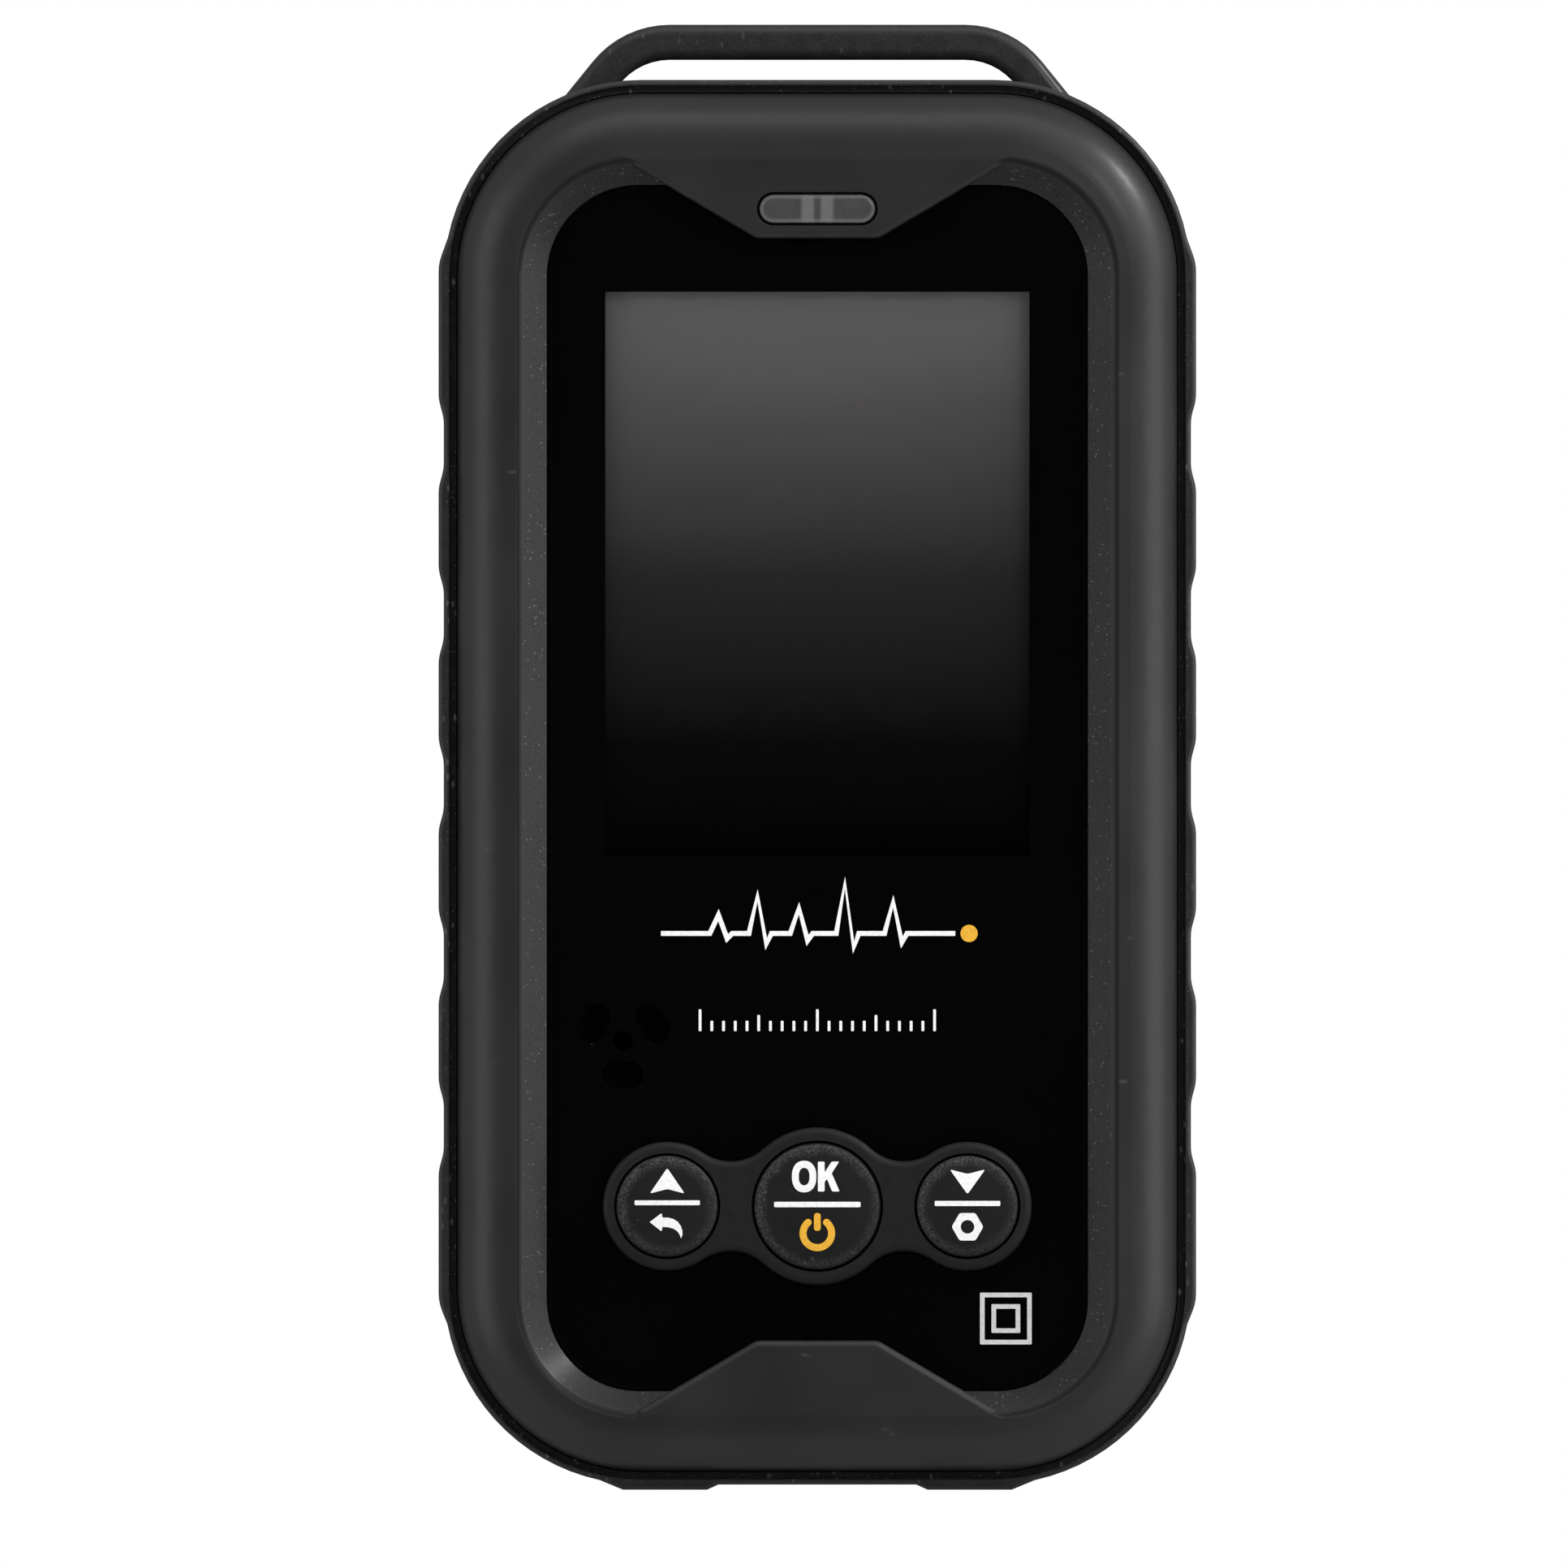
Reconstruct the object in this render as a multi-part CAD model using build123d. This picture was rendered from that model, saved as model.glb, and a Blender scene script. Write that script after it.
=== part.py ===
"""Handheld radiation detector with a colour display, three keys and a lanyard loop.

Frame: +Z up along the case, front (display side) towards -Y, +X to the right seen from the front.
The origin is on the floor under the middle of the case. All sizes are in millimetres.
Depths are y values, from FRONT_Y at the display rim to BACK_Y at the flat back.
"""

import os
from math import radians, sqrt, tan

from build123d import *

# ---------------------------------------------------------------- driving dimensions
# Overall case
BAND_HALF = 32.5  # half width of the rubber band in its grip grooves
BAND_BOTTOM, BAND_TOP = 0.45, 122.65
BAND_RADIUS = 17.2
BAND_THICK = 1.2
BAND_FRONT_Y, BAND_BACK_Y = -9.0, 9.0
GRIP_RISE = 0.45  # the grip lands and the two feet stand this proud
LIP_STEP_WIDE, LIP_STEP_DEEP, LIP_ROUND = 0.65, 1.1, 0.4  # groove along the band's inner edges
FRONT_Y, BACK_Y = -13.5, 13.5
PARTING_Y = -6.0
WALL = 2.0
GAP = 0.1  # assembly gap between fitted shells

# Front recess and the display window in it
CREASE_HALF, CREASE_BOTTOM, CREASE_TOP, CREASE_RADIUS = 26.0, 6.5, 115.75, 10.2
PANE_HALF, PANE_BOTTOM, PANE_TOP, PANE_RADIUS = 23.55, 8.57, 113.52, 7.95
RECESS_DEPTH = 2.2
CREASE_ROUND = 0.7
EDGE_ROLL = 4.8  # large round along the front cover's rim
RIM_DROP = 0.85  # the rim slopes back by this much from the crease to the outer edge
PANE_THICK, INK_THICK, TAPE_THICK = 1.0, 0.08, 0.1
PANE_BEVEL = 0.25
INK_GAP = 0.02
FLOOR_THICK = 1.5

# Raised tabs that reach over the window at the top and the bottom
TAB_HALF, TAB_SLOPE = 5.3, radians(30.5)
TAB_TOP_EDGE, TAB_BOTTOM_EDGE = 108.87, 12.98
TAB_ROUND, TAB_CORNER = 0.6, 1.2

# Display
SCREEN_W, SCREEN_H, SCREEN_Z = 36.9, 49.1, 79.67
LCD_W, LCD_H, LCD_TOP = 43.0, 59.5, 106.3
LCD_CLEAR = 0.35  # gap round the display module in the front cover

# Indicator light
LENS_W, LENS_H, LENS_Z = 10.1, 2.5, 111.44

# Keys
KEY_Z, KEY_PITCH = 24.67, 13.06
SMALL_KEY_R, BIG_KEY_R = 4.42, 5.52
KEY_GAP = 0.2
SMALL_LOBE_R, BIG_LOBE_R, NECK_FILLET = 5.61, 6.86, 4.25
BEZEL_RISE = 1.1
KEY_RISE = 1.5
KEY_TRAVEL = 0.5
KEYS = (
    ("up", -KEY_PITCH, SMALL_KEY_R),
    ("ok", 0.0, BIG_KEY_R),
    ("down", KEY_PITCH, SMALL_KEY_R),
)

# Sound outlet: three slots round a centre hole
SOUND_X, SOUND_Z, SOUND_RING = -16.92, 39.06, 2.98
SOUND_SLOT_W, SOUND_SLOT_H, SOUND_HOLE_R = 3.5, 2.3, 0.85
SOUND_BEVEL = 0.12

# Side grips: grooves along each long side
GROOVE_COUNT, GROOVE_PITCH, GROOVE_MID_Z = 5, 14.86, 61.3
GROOVE_FLAT, GROOVE_RAMP = 4.4, 1.6
GRIP_LOW, GRIP_HIGH = 16.3, 106.7

# Lanyard loop: an arch behind the top edge
LOOP_CORNER_X, LOOP_TOP, LOOP_RADIUS, LOOP_BAR = 16.95, 127.45, 8.6, 3.07
LOOP_SLOPE = radians(51)
LOOP_FRONT_Y, LOOP_BACK_Y = 0.5, 6.5

# Circuit board and what stands on it
BOARD_FRONT_Y, BOARD_THICK = -4.6, 1.6
BOARD_EDGE_GAP = 0.7
SCREW_SEAT_Y, SCREW_TIP_Y = 10.5, -5.5  # under the case screws' heads and at their tips
SCREW_RECESS_R = 2.6
CASE_SCREW_X, CASE_SCREW_TOP, CASE_SCREW_BOTTOM = 21.3, 111.0, 12.1
POST_X, POST_LOW, POST_HIGH = 24.9, 50.0, 92.0
TUBE_X, TUBE_Y, TUBE_R, TUBE_LOW, TUBE_HIGH = 18.5, 4.5, 5.0, 18.0, 104.0
TUBE_CAP_L = 7.0
SLEEVE_L, SLEEVE_PITCH, SLEEVE_START = 19.0, 21.5, 5.0  # the filter sleeves along the tube
BATTERY_X, BATTERY_Z, BATTERY_W, BATTERY_H, BATTERY_T = -9.5, 75.0, 34.0, 50.0, 7.3
USB_W, USB_T, USB_L, USB_MOUTH_Z = 8.94, 3.26, 7.3, 2.3

# ---------------------------------------------------------------- derived places
COVER_HALF = BAND_HALF - BAND_THICK
COVER_BOTTOM, COVER_TOP = BAND_BOTTOM + BAND_THICK, BAND_TOP - BAND_THICK
COVER_RADIUS = BAND_RADIUS - BAND_THICK
PANE_Y = FRONT_Y + RECESS_DEPTH
PANE_BACK_Y = PANE_Y + PANE_THICK
INK_Y = PANE_BACK_Y + INK_GAP
TAPE_Y = INK_Y + INK_THICK
FLOOR_Y = TAPE_Y + TAPE_THICK
CAVITY_Y = FLOOR_Y + FLOOR_THICK
BOARD_BACK_Y = BOARD_FRONT_Y + BOARD_THICK
BACK_INSIDE_Y = BACK_Y - WALL
USB_Y = BOARD_BACK_Y + USB_T / 2
CASE_SCREWS = [
    (x, z) for x in (-CASE_SCREW_X, CASE_SCREW_X) for z in (CASE_SCREW_BOTTOM, CASE_SCREW_TOP)
]
POSTS = [(x, z) for x in (-POST_X, POST_X) for z in (POST_LOW, POST_HIGH)]


# ---------------------------------------------------------------- helpers
def front_view(y):
    """The plane at depth y whose local x and y are the world's x and z."""
    return Plane(origin=(0, y, 0), x_dir=(1, 0, 0), z_dir=(0, -1, 0))


def slab(sketch, y_front, y_back):
    """A front-view sketch as a plate from y_front to y_back."""
    return extrude(front_view(y_back) * sketch, y_back - y_front)


def tapered(front, y_front, back, y_back):
    """A ruled solid between two front-view sketches."""
    return loft([front_view(y_front) * front, front_view(y_back) * back], ruled=True)


def outline(half, bottom, top, radius):
    """A rounded rectangle in the front view, centred on x = 0."""
    return Pos(0, (bottom + top) / 2) * RectangleRounded(2 * half, top - bottom, radius)


def cover_outline(grow=0.0):
    """The outline that both covers share, grown outwards or (negative) inwards."""
    return outline(
        COVER_HALF + grow, COVER_BOTTOM - grow, COVER_TOP + grow, COVER_RADIUS + grow
    )


def ring(grow_out, grow_in, y_front, y_back):
    """A rim that follows the cover outline, between two offsets of it."""
    return slab(cover_outline(grow_out), y_front, y_back) - slab(
        cover_outline(grow_in), y_front - 1, y_back + 1
    )


def rod(x, z, radius, y_front, y_back):
    """A round bar along Y."""
    return slab(Pos(x, z) * Circle(radius), y_front, y_back)


def block(x, z, width, height, y_front, y_back, corner=0.0):
    """A plate centred on (x, z), with rounded corners in the front view if asked."""
    shape = RectangleRounded(width, height, corner) if corner else Rectangle(width, height)
    return slab(Pos(x, z) * shape, y_front, y_back)


def edges_at_y(shape, y, within=1e-3):
    """The edges that lie wholly in the plane at depth y."""
    return shape.edges().filter_by(
        lambda e: abs(e.bounding_box().min.Y - y) < within
        and abs(e.bounding_box().max.Y - y) < within
    )


def rim_edges(shape, y, face_normal_y):
    """The outer boundary edges of the flat face at depth y whose normal points along face_normal_y."""
    flat = [
        f
        for f in shape.faces().filter_by(GeomType.PLANE)
        if abs(f.center().Y - y) < 1e-3 and f.normal_at().Y * face_normal_y > 0.99
    ]
    return max(flat, key=lambda f: f.area).outer_wire().edges()


def group(*shapes):
    """Several separate solids as one node."""
    return Compound(children=[s for shape in shapes for s in shape.solids()])


# ---------------------------------------------------------------- front-view shapes
def tab_shape(edge, into, far, shrink=0.0):
    """The trapezoid of a tab: its short edge at z = edge, widening to z = far; into is +1 or -1."""
    half = TAB_HALF - shrink * tan(TAB_SLOPE / 2)
    reach = abs(far - edge)
    wide = half + reach / tan(TAB_SLOPE)
    points = [(-half, edge), (half, edge), (wide, edge + into * reach), (-wide, edge + into * reach)]
    return make_face(Polyline(*points, close=True))


def tab_shapes(far_out=0.2, grow=0.0):
    """Both tabs, as far as just past the recess crease, their inner edges moved out by grow."""
    top = tab_shape(TAB_TOP_EDGE - grow, 1, CREASE_TOP + far_out, shrink=-grow)
    bottom = tab_shape(TAB_BOTTOM_EDGE + grow, -1, CREASE_BOTTOM - far_out, shrink=-grow)
    return top + bottom


def pane_shape(shrink=0.0):
    """The display window's outline: the recess floor less the two tabs."""
    base = outline(
        PANE_HALF - shrink, PANE_BOTTOM + shrink, PANE_TOP - shrink, PANE_RADIUS - shrink
    )
    return base - tab_shapes(grow=shrink)


def bezel_shape(grow=0.0):
    """Three joined lobes round the keys, with concave necks between them."""
    shape = Circle(BIG_LOBE_R + grow)
    fillet_r = NECK_FILLET - grow
    for side in (-1, 1):
        shape += Pos(side * KEY_PITCH, 0) * Circle(SMALL_LOBE_R + grow)
    # The neck's arc centre is one arc radius clear of both lobes.
    reach_big, reach_small = BIG_LOBE_R + NECK_FILLET, SMALL_LOBE_R + NECK_FILLET
    along = (KEY_PITCH**2 + reach_big**2 - reach_small**2) / (2 * KEY_PITCH)
    across = sqrt(reach_big**2 - along**2)
    for side in (-1, 1):
        web = make_face(
            Polyline(
                (0, 0),
                (side * along, across),
                (side * KEY_PITCH, 0),
                (side * along, -across),
                close=True,
            )
        )
        for half in (-1, 1):
            web -= Pos(side * along, half * across) * Circle(fillet_r)
        shape += web
    return Pos(0, KEY_Z) * shape


def sound_shape():
    """The sound outlet: three rounded slots at 120 degrees and a centre hole."""
    shape = Circle(SOUND_HOLE_R)
    for turn in (30, 150, 270):
        slot = RectangleRounded(SOUND_SLOT_H, SOUND_SLOT_W, SOUND_SLOT_H * 0.42)
        shape += Rot(0, 0, turn) * Pos(SOUND_RING, 0) * slot
    return Pos(SOUND_X, SOUND_Z) * shape


def display_opening(grow=0.0):
    """The opening that the display module stands in."""
    reach = LCD_CLEAR + grow
    middle = LCD_TOP - LCD_H / 2
    return Pos(0, middle) * RectangleRounded(LCD_W + 2 * reach, LCD_H + 2 * reach, 0.6)


def key_holes(grow):
    """The three round holes that the keys pass through."""
    shape = Sketch()
    for _, x, radius in KEYS:
        shape += Pos(x, KEY_Z) * Circle(radius + grow)
    return shape


def lens_shape(grow=0.0):
    """The indicator lens: a slot with round ends."""
    return Pos(0, LENS_Z) * RectangleRounded(
        LENS_W + 2 * grow, LENS_H + 2 * grow, LENS_H / 2 + grow - 0.01
    )


# ---------------------------------------------------------------- case
def make_tab(edge, into, crease, rim):
    """One tab, with its corners and upper edges rounded, cut to the rim's slope past the crease."""
    far = crease + into * 0.4
    tab = slab(tab_shape(edge, into, far), FRONT_Y, CAVITY_Y)
    corners = tab.edges().filter_by(Axis.Y).filter_by(lambda e: abs(e.center().Z - edge) < 0.01)
    tab = fillet(corners, TAB_CORNER)
    upper = edges_at_y(tab, FRONT_Y).filter_by(lambda e: abs(e.center().Z - far) > 0.01)
    tab = fillet(upper, TAB_ROUND)
    points = [(FRONT_Y, crease), (FRONT_Y + RIM_DROP, rim), (FRONT_Y - 1, rim), (FRONT_Y - 1, crease)]
    above = extrude(Plane.YZ * make_face(Polyline(*points, close=True)), COVER_HALF, both=True)
    return tab - above


def make_cover_blank():
    """The front cover's outer form: a rim that slopes back from the crease, rolled at its edge."""
    edge_y = FRONT_Y + RIM_DROP
    crease = outline(CREASE_HALF, CREASE_BOTTOM, CREASE_TOP, CREASE_RADIUS)
    blank = slab(cover_outline(), edge_y, PARTING_Y)
    blank += tapered(crease, FRONT_Y, cover_outline(), edge_y)
    return fillet(edges_at_y(blank, edge_y), EDGE_ROLL)


def make_front_cover():
    crease = outline(CREASE_HALF, CREASE_BOTTOM, CREASE_TOP, CREASE_RADIUS)
    pane = outline(PANE_HALF, PANE_BOTTOM, PANE_TOP, PANE_RADIUS)
    body = make_cover_blank() - tapered(crease, FRONT_Y, pane, PANE_Y)
    crease_edges = edges_at_y(body, FRONT_Y)
    body = fillet(crease_edges, CREASE_ROUND)
    body -= slab(pane, PANE_Y - 0.01, FLOOR_Y)
    body += make_tab(TAB_TOP_EDGE, 1, CREASE_TOP, COVER_TOP)
    body += make_tab(TAB_BOTTOM_EDGE, -1, CREASE_BOTTOM, COVER_BOTTOM)
    body -= slab(cover_outline(-WALL), CAVITY_Y, PARTING_Y + 1)
    # A groove under the rim keeps the moulding an even thickness.
    body -= ring(-WALL - 0.4, -WALL - 2.4, CAVITY_Y - 2.2, CAVITY_Y + 1)
    body += ring(-WALL + 0.9, -WALL, PARTING_Y - 0.5, PARTING_Y + 1.3)
    for x, z in CASE_SCREWS:
        body += rod(x, z, 2.8, CAVITY_Y - 0.2, 2.4)
        body -= rod(x, z, 1.25, CAVITY_Y + 2.4, 3.0)
    for x, z in POSTS:
        body += rod(x, z, 1.9, CAVITY_Y - 0.2, BOARD_FRONT_Y)
        body -= rod(x, z, 0.85, CAVITY_Y + 0.4, BOARD_FRONT_Y + 1)
    body -= slab(display_opening(), FLOOR_Y - 1, CAVITY_Y + 1)
    # Room for the display's ribbon where it turns round the lower edge.
    body -= block(FLEX_X, LCD_TOP - LCD_H - LCD_CLEAR, 19.0, 2.4, CAVITY_Y - 0.8, CAVITY_Y + 1, 0.5)
    body -= slab(key_holes(0.25), FLOOR_Y - 1, CAVITY_Y + 1)
    body -= slab(sound_shape(), FLOOR_Y - 1, CAVITY_Y + 1)
    body -= slab(lens_shape(0.2), FRONT_Y - 1, CAVITY_Y + 1)
    return body


def make_rear_cover():
    body = slab(cover_outline(), PARTING_Y, BACK_Y)
    body = fillet(rim_edges(body, BACK_Y, 1), EDGE_ROLL - 0.5)
    cavity = slab(cover_outline(-WALL), PARTING_Y - 1, BACK_INSIDE_Y)
    body -= fillet(rim_edges(cavity, BACK_INSIDE_Y, 1), EDGE_ROLL - 0.5 - WALL)
    body -= slab(cover_outline(-WALL + 1.0), PARTING_Y - 1, PARTING_Y + 2.0)
    # The groove that the band's inner rib locks into.
    body -= ring(1.0, -0.8, 2.9, 5.1)
    for x, z in CASE_SCREWS:
        body += rod(x, z, 3.3, 2.5, BACK_INSIDE_Y + 0.2)
        body -= rod(x, z, 1.4, 0, BACK_Y)
        body -= rod(x, z, SCREW_RECESS_R, SCREW_SEAT_Y, BACK_Y + 1)
    body -= slab(sensor_slots(), BACK_INSIDE_Y - 1, BACK_Y + 1)
    body -= slab(sensor_mark(), BACK_Y - 0.35, BACK_Y + 1)
    body -= label_plate(0.15, BACK_Y - 0.35, BACK_Y + 1)
    body -= usb_slot(USB_W + 0.4, USB_T + 0.4, COVER_BOTTOM - 1, COVER_BOTTOM + WALL + 1)
    for side in (-1, 1):  # ribs that hold the battery
        x = BATTERY_X + side * (BATTERY_W / 2 + 0.8)
        body += block(x, BATTERY_Z, 1.0, BATTERY_H * 0.7, 6.0, BACK_INSIDE_Y + 0.2)
    return body


def sensor_slots():
    """Horizontal slots in the back, over the detector tube."""
    shape = Sketch()
    for n in range(9):
        shape += Pos(TUBE_X, 66 + 3.6 * n) * RectangleRounded(9.0, 1.6, 0.79)
    return shape


def sensor_mark():
    """A ring and a cross engraved where the tube's centre lies."""
    place = Pos(TUBE_X, (TUBE_LOW + TUBE_HIGH) / 2 - 4.5)
    return place * (
        (Circle(3.0) - Circle(2.5)) + Rectangle(3.2, 0.5) + Rectangle(0.5, 3.2)
    )


def label_plate(grow, y_front, y_back):
    """The label's place on the back, grown by its edge gap."""
    return block(-6.0, 36.0, 36.0 + 2 * grow, 24.0 + 2 * grow, y_front, y_back, 2.0)


def usb_slot(width, thick, z_low, z_high):
    """A slot with round ends along Z at the charging socket."""
    plane = Plane(origin=(0, USB_Y, z_low), x_dir=(1, 0, 0), z_dir=(0, 0, 1))
    return extrude(plane * RectangleRounded(width, thick, thick / 2 - 0.01), z_high - z_low)


def grip_strip(side):
    """The wavy land along one long side, in the front view."""
    x_groove, x_land, x_end = BAND_HALF, BAND_HALF + GRIP_RISE, BAND_HALF - 1.0
    points = [(BAND_HALF - 4, GRIP_LOW - 3.6), (x_end, GRIP_LOW - 3.6), (x_land, GRIP_LOW)]
    for n in range(GROOVE_COUNT):
        mid = GROOVE_MID_Z + (n - (GROOVE_COUNT - 1) / 2) * GROOVE_PITCH
        half = GROOVE_FLAT / 2
        points += [
            (x_land, mid - half - GROOVE_RAMP),
            (x_groove, mid - half),
            (x_groove, mid + half),
            (x_land, mid + half + GROOVE_RAMP),
        ]
    points += [(x_land, GRIP_HIGH), (x_end, GRIP_HIGH + 4.0), (BAND_HALF - 4, GRIP_HIGH + 4.0)]
    strip = make_face(Polyline(*points, close=True))
    soft = strip.vertices().filter_by(lambda v: v.X > BAND_HALF - 0.01)
    strip = fillet(soft, 4.0)
    return strip if side > 0 else mirror(strip, Plane.YZ)


def foot(side):
    """One of the two low feet under the case, in the front view."""
    points = [
        (8.6, 2.0),
        (8.6, BAND_BOTTOM),
        (9.6, 0),
        (16.9, 0),
        (19.2, BAND_BOTTOM + 0.5),
        (19.2, 2.0),
    ]
    face = make_face(Polyline(*points, close=True))
    return face if side > 0 else mirror(face, Plane.YZ)


def loop_shape(inset):
    """The lanyard loop's outline: flat on top, then down a slope on each side."""
    half, top, drop = LOOP_CORNER_X - inset * tan(LOOP_SLOPE / 2), LOOP_TOP - inset, 12.0
    low = half + drop / tan(LOOP_SLOPE)
    points = [(-low, top - drop), (-half, top), (half, top), (low, top - drop)]
    face = make_face(Polyline(*points, close=True))
    shoulders = face.vertices().filter_by(lambda v: v.Y > top - 0.01)
    return fillet(shoulders, LOOP_RADIUS - inset)


def make_loop():
    """The lanyard loop: a rounded bar that arches over the top edge."""
    arch = slab(loop_shape(0), LOOP_FRONT_Y, LOOP_BACK_Y)
    arch -= slab(loop_shape(LOOP_BAR), LOOP_FRONT_Y - 1, LOOP_BACK_Y + 1)
    rims = edges_at_y(arch, LOOP_FRONT_Y) + edges_at_y(arch, LOOP_BACK_Y)
    foot_z = LOOP_TOP - LOOP_BAR - 11.9
    return fillet(rims.filter_by(lambda e: e.center().Z > foot_z), 0.9)


def make_grip_band():
    base = outline(BAND_HALF, BAND_BOTTOM, BAND_TOP, BAND_RADIUS)
    shape = base + grip_strip(1) + grip_strip(-1) + foot(1) + foot(-1)
    body = slab(shape, BAND_FRONT_Y, BAND_BACK_Y)
    body = fillet(rim_edges(body, BAND_FRONT_Y, -1), LIP_ROUND)
    body = fillet(rim_edges(body, BAND_BACK_Y, 1), LIP_ROUND)
    body += make_loop()
    rib_front, rib_back = 3.0, 5.0
    body -= slab(cover_outline(-0.7), BAND_FRONT_Y - 1, BAND_BACK_Y + 1)
    body -= slab(cover_outline(GAP), BAND_FRONT_Y - 1, rib_front)
    body -= slab(cover_outline(GAP), rib_back, BAND_BACK_Y + 1)
    step = cover_outline(GAP + LIP_STEP_WIDE)
    body -= slab(step, BAND_FRONT_Y - 1, BAND_FRONT_Y + LIP_STEP_DEEP)
    body -= slab(step, BAND_BACK_Y - LIP_STEP_DEEP, BAND_BACK_Y + 1)
    body -= usb_slot(12.6, 6.4, -1, COVER_BOTTOM + 2)
    return body


def make_case_gasket():
    return ring(-WALL + 0.9, -WALL + 0.1, PARTING_Y + 1.3, PARTING_Y + 2.0)


def screw(x, z, head_r, head_h, shank_r, y_seat, y_tip):
    """A pan-head screw along Y, its head towards the back, with a cross recess."""
    head = rod(x, z, head_r, y_seat, y_seat + head_h)
    head = fillet(edges_at_y(head, y_seat + head_h), head_h * 0.45)
    for turn in (0, 90):
        cross = Rot(0, 0, turn) * Rectangle(head_r * 1.15, head_r * 0.24)
        head -= slab(Pos(x, z) * cross, y_seat + head_h * 0.4, y_seat + head_h + 1)
    shank = rod(x, z, shank_r, y_tip, y_seat)
    return head + chamfer(edges_at_y(shank, y_tip), shank_r * 0.4)


def make_case_screws():
    head_r, head_h, shank_r = 2.3, 1.7, 1.2
    return group(
        *[screw(x, z, head_r, head_h, shank_r, SCREW_SEAT_Y, SCREW_TIP_Y) for x, z in CASE_SCREWS]
    )


def make_rear_label():
    return label_plate(0.0, BACK_Y - 0.35, BACK_Y - 0.1)


def make_sensor_film():
    return block(TUBE_X, 80.4, 12.0, 34.0, BACK_INSIDE_Y - 0.15, BACK_INSIDE_Y, 1.0)


# ---------------------------------------------------------------- window, light and keys
def make_window_glass():
    """The pane, with its rim and the sound slots bevelled on the front."""
    pane = slab(pane_shape(0.15), PANE_Y, PANE_BACK_Y)
    pane -= slab(bezel_shape(0.12), PANE_Y - 1, PANE_BACK_Y + 1)
    pane = chamfer(rim_edges(pane, PANE_Y, -1), PANE_BEVEL)
    pane -= slab(sound_shape(), PANE_Y - 1, PANE_BACK_Y + 1)
    reach = SOUND_RING + SOUND_SLOT_W
    slots = edges_at_y(pane, PANE_Y).filter_by(
        lambda e: abs(e.center().X - SOUND_X) < reach and abs(e.center().Z - SOUND_Z) < reach
    )
    return chamfer(slots, SOUND_BEVEL)


def make_window_ink():
    ink = slab(pane_shape(0.2), INK_Y, TAPE_Y)
    ink -= slab(Pos(0, SCREEN_Z) * Rectangle(SCREEN_W, SCREEN_H), INK_Y - 1, TAPE_Y + 1)
    ink -= slab(bezel_shape(0.12) + sound_shape(), INK_Y - 1, TAPE_Y + 1)
    return ink


def make_window_tape():
    tape = slab(pane_shape(0.4), TAPE_Y, FLOOR_Y)
    tape -= slab(display_opening(0.1), TAPE_Y - 1, FLOOR_Y + 1)
    sound_clear = Pos(SOUND_X, SOUND_Z) * Circle(SOUND_RING + 2.0)
    tape -= slab(bezel_shape(0.3) + sound_clear, TAPE_Y - 1, FLOOR_Y + 1)
    return tape


def make_key_bezel():
    bezel = slab(bezel_shape(), PANE_Y - BEZEL_RISE, FLOOR_Y)
    bezel = fillet(rim_edges(bezel, PANE_Y - BEZEL_RISE, -1), 0.6)
    bezel -= slab(key_holes(KEY_GAP), PANE_Y - BEZEL_RISE - 1, FLOOR_Y + 1)
    return bezel


def make_key(x, radius):
    """A domed key cap with the flange that holds it behind the cover and the stem that works the switch."""
    top_y = PANE_Y - KEY_RISE
    dome_r = 42.0
    cap = rod(x, KEY_Z, radius, top_y, CAVITY_Y + 0.05)
    cap &= Pos(x, top_y + dome_r, KEY_Z) * Sphere(dome_r)
    rim = cap.edges().filter_by(
        lambda e: e.bounding_box().max.Y < top_y + 1.0 and e.length > radius
    )
    cap = fillet(rim, 0.55)
    flange = rod(x, KEY_Z, radius + 0.9, CAVITY_Y + 0.05, CAVITY_Y + 0.85)
    stem = rod(x, KEY_Z, 1.8, CAVITY_Y + 0.85, PLUNGER_Y)
    return cap + flange + stem


def make_lens():
    front = slab(lens_shape(), FRONT_Y + 0.15, CAVITY_Y)
    front = fillet(rim_edges(front, FRONT_Y + 0.15, -1), 0.3)
    flange = slab(lens_shape(1.0), CAVITY_Y, CAVITY_Y + 0.8)
    guide = block(0, LENS_Z, 4.6, 2.0, CAVITY_Y + 0.8, BOARD_FRONT_Y - 1.0)
    return front + flange + guide


def make_sound_mesh():
    return rod(SOUND_X, SOUND_Z, 5.2, CAVITY_Y, CAVITY_Y + 0.15)


def make_sound_gasket():
    y = CAVITY_Y + 0.15
    return rod(SOUND_X, SOUND_Z, 5.6, y, y + 0.45) - rod(SOUND_X, SOUND_Z, 4.4, y - 1, y + 1)


def make_buzzer():
    top = CAVITY_Y + 0.6
    can = fillet(edges_at_y(rod(SOUND_X, SOUND_Z, 6.0, top, BOARD_FRONT_Y), top), 0.5)
    return can - rod(SOUND_X, SOUND_Z, 1.0, top - 1, top + 0.8)


# ---------------------------------------------------------------- display module
LCD_Z = LCD_TOP - LCD_H / 2
LCD_GASKET_T, LCD_GLASS_T, LCD_LIGHT_T, LCD_PAD_T = 0.3, 1.4, 1.3, 0.5
LCD_GLASS_H = 57.0
LCD_GLASS_Y = TAPE_Y + LCD_GASKET_T
LCD_LIGHT_Y = LCD_GLASS_Y + LCD_GLASS_T
LCD_HOLDER_Y = LCD_LIGHT_Y + LCD_LIGHT_T
LCD_PAD_Y = BOARD_FRONT_Y - LCD_PAD_T
FLEX_X, FLEX_END_Z = 4.0, 42.8


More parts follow.
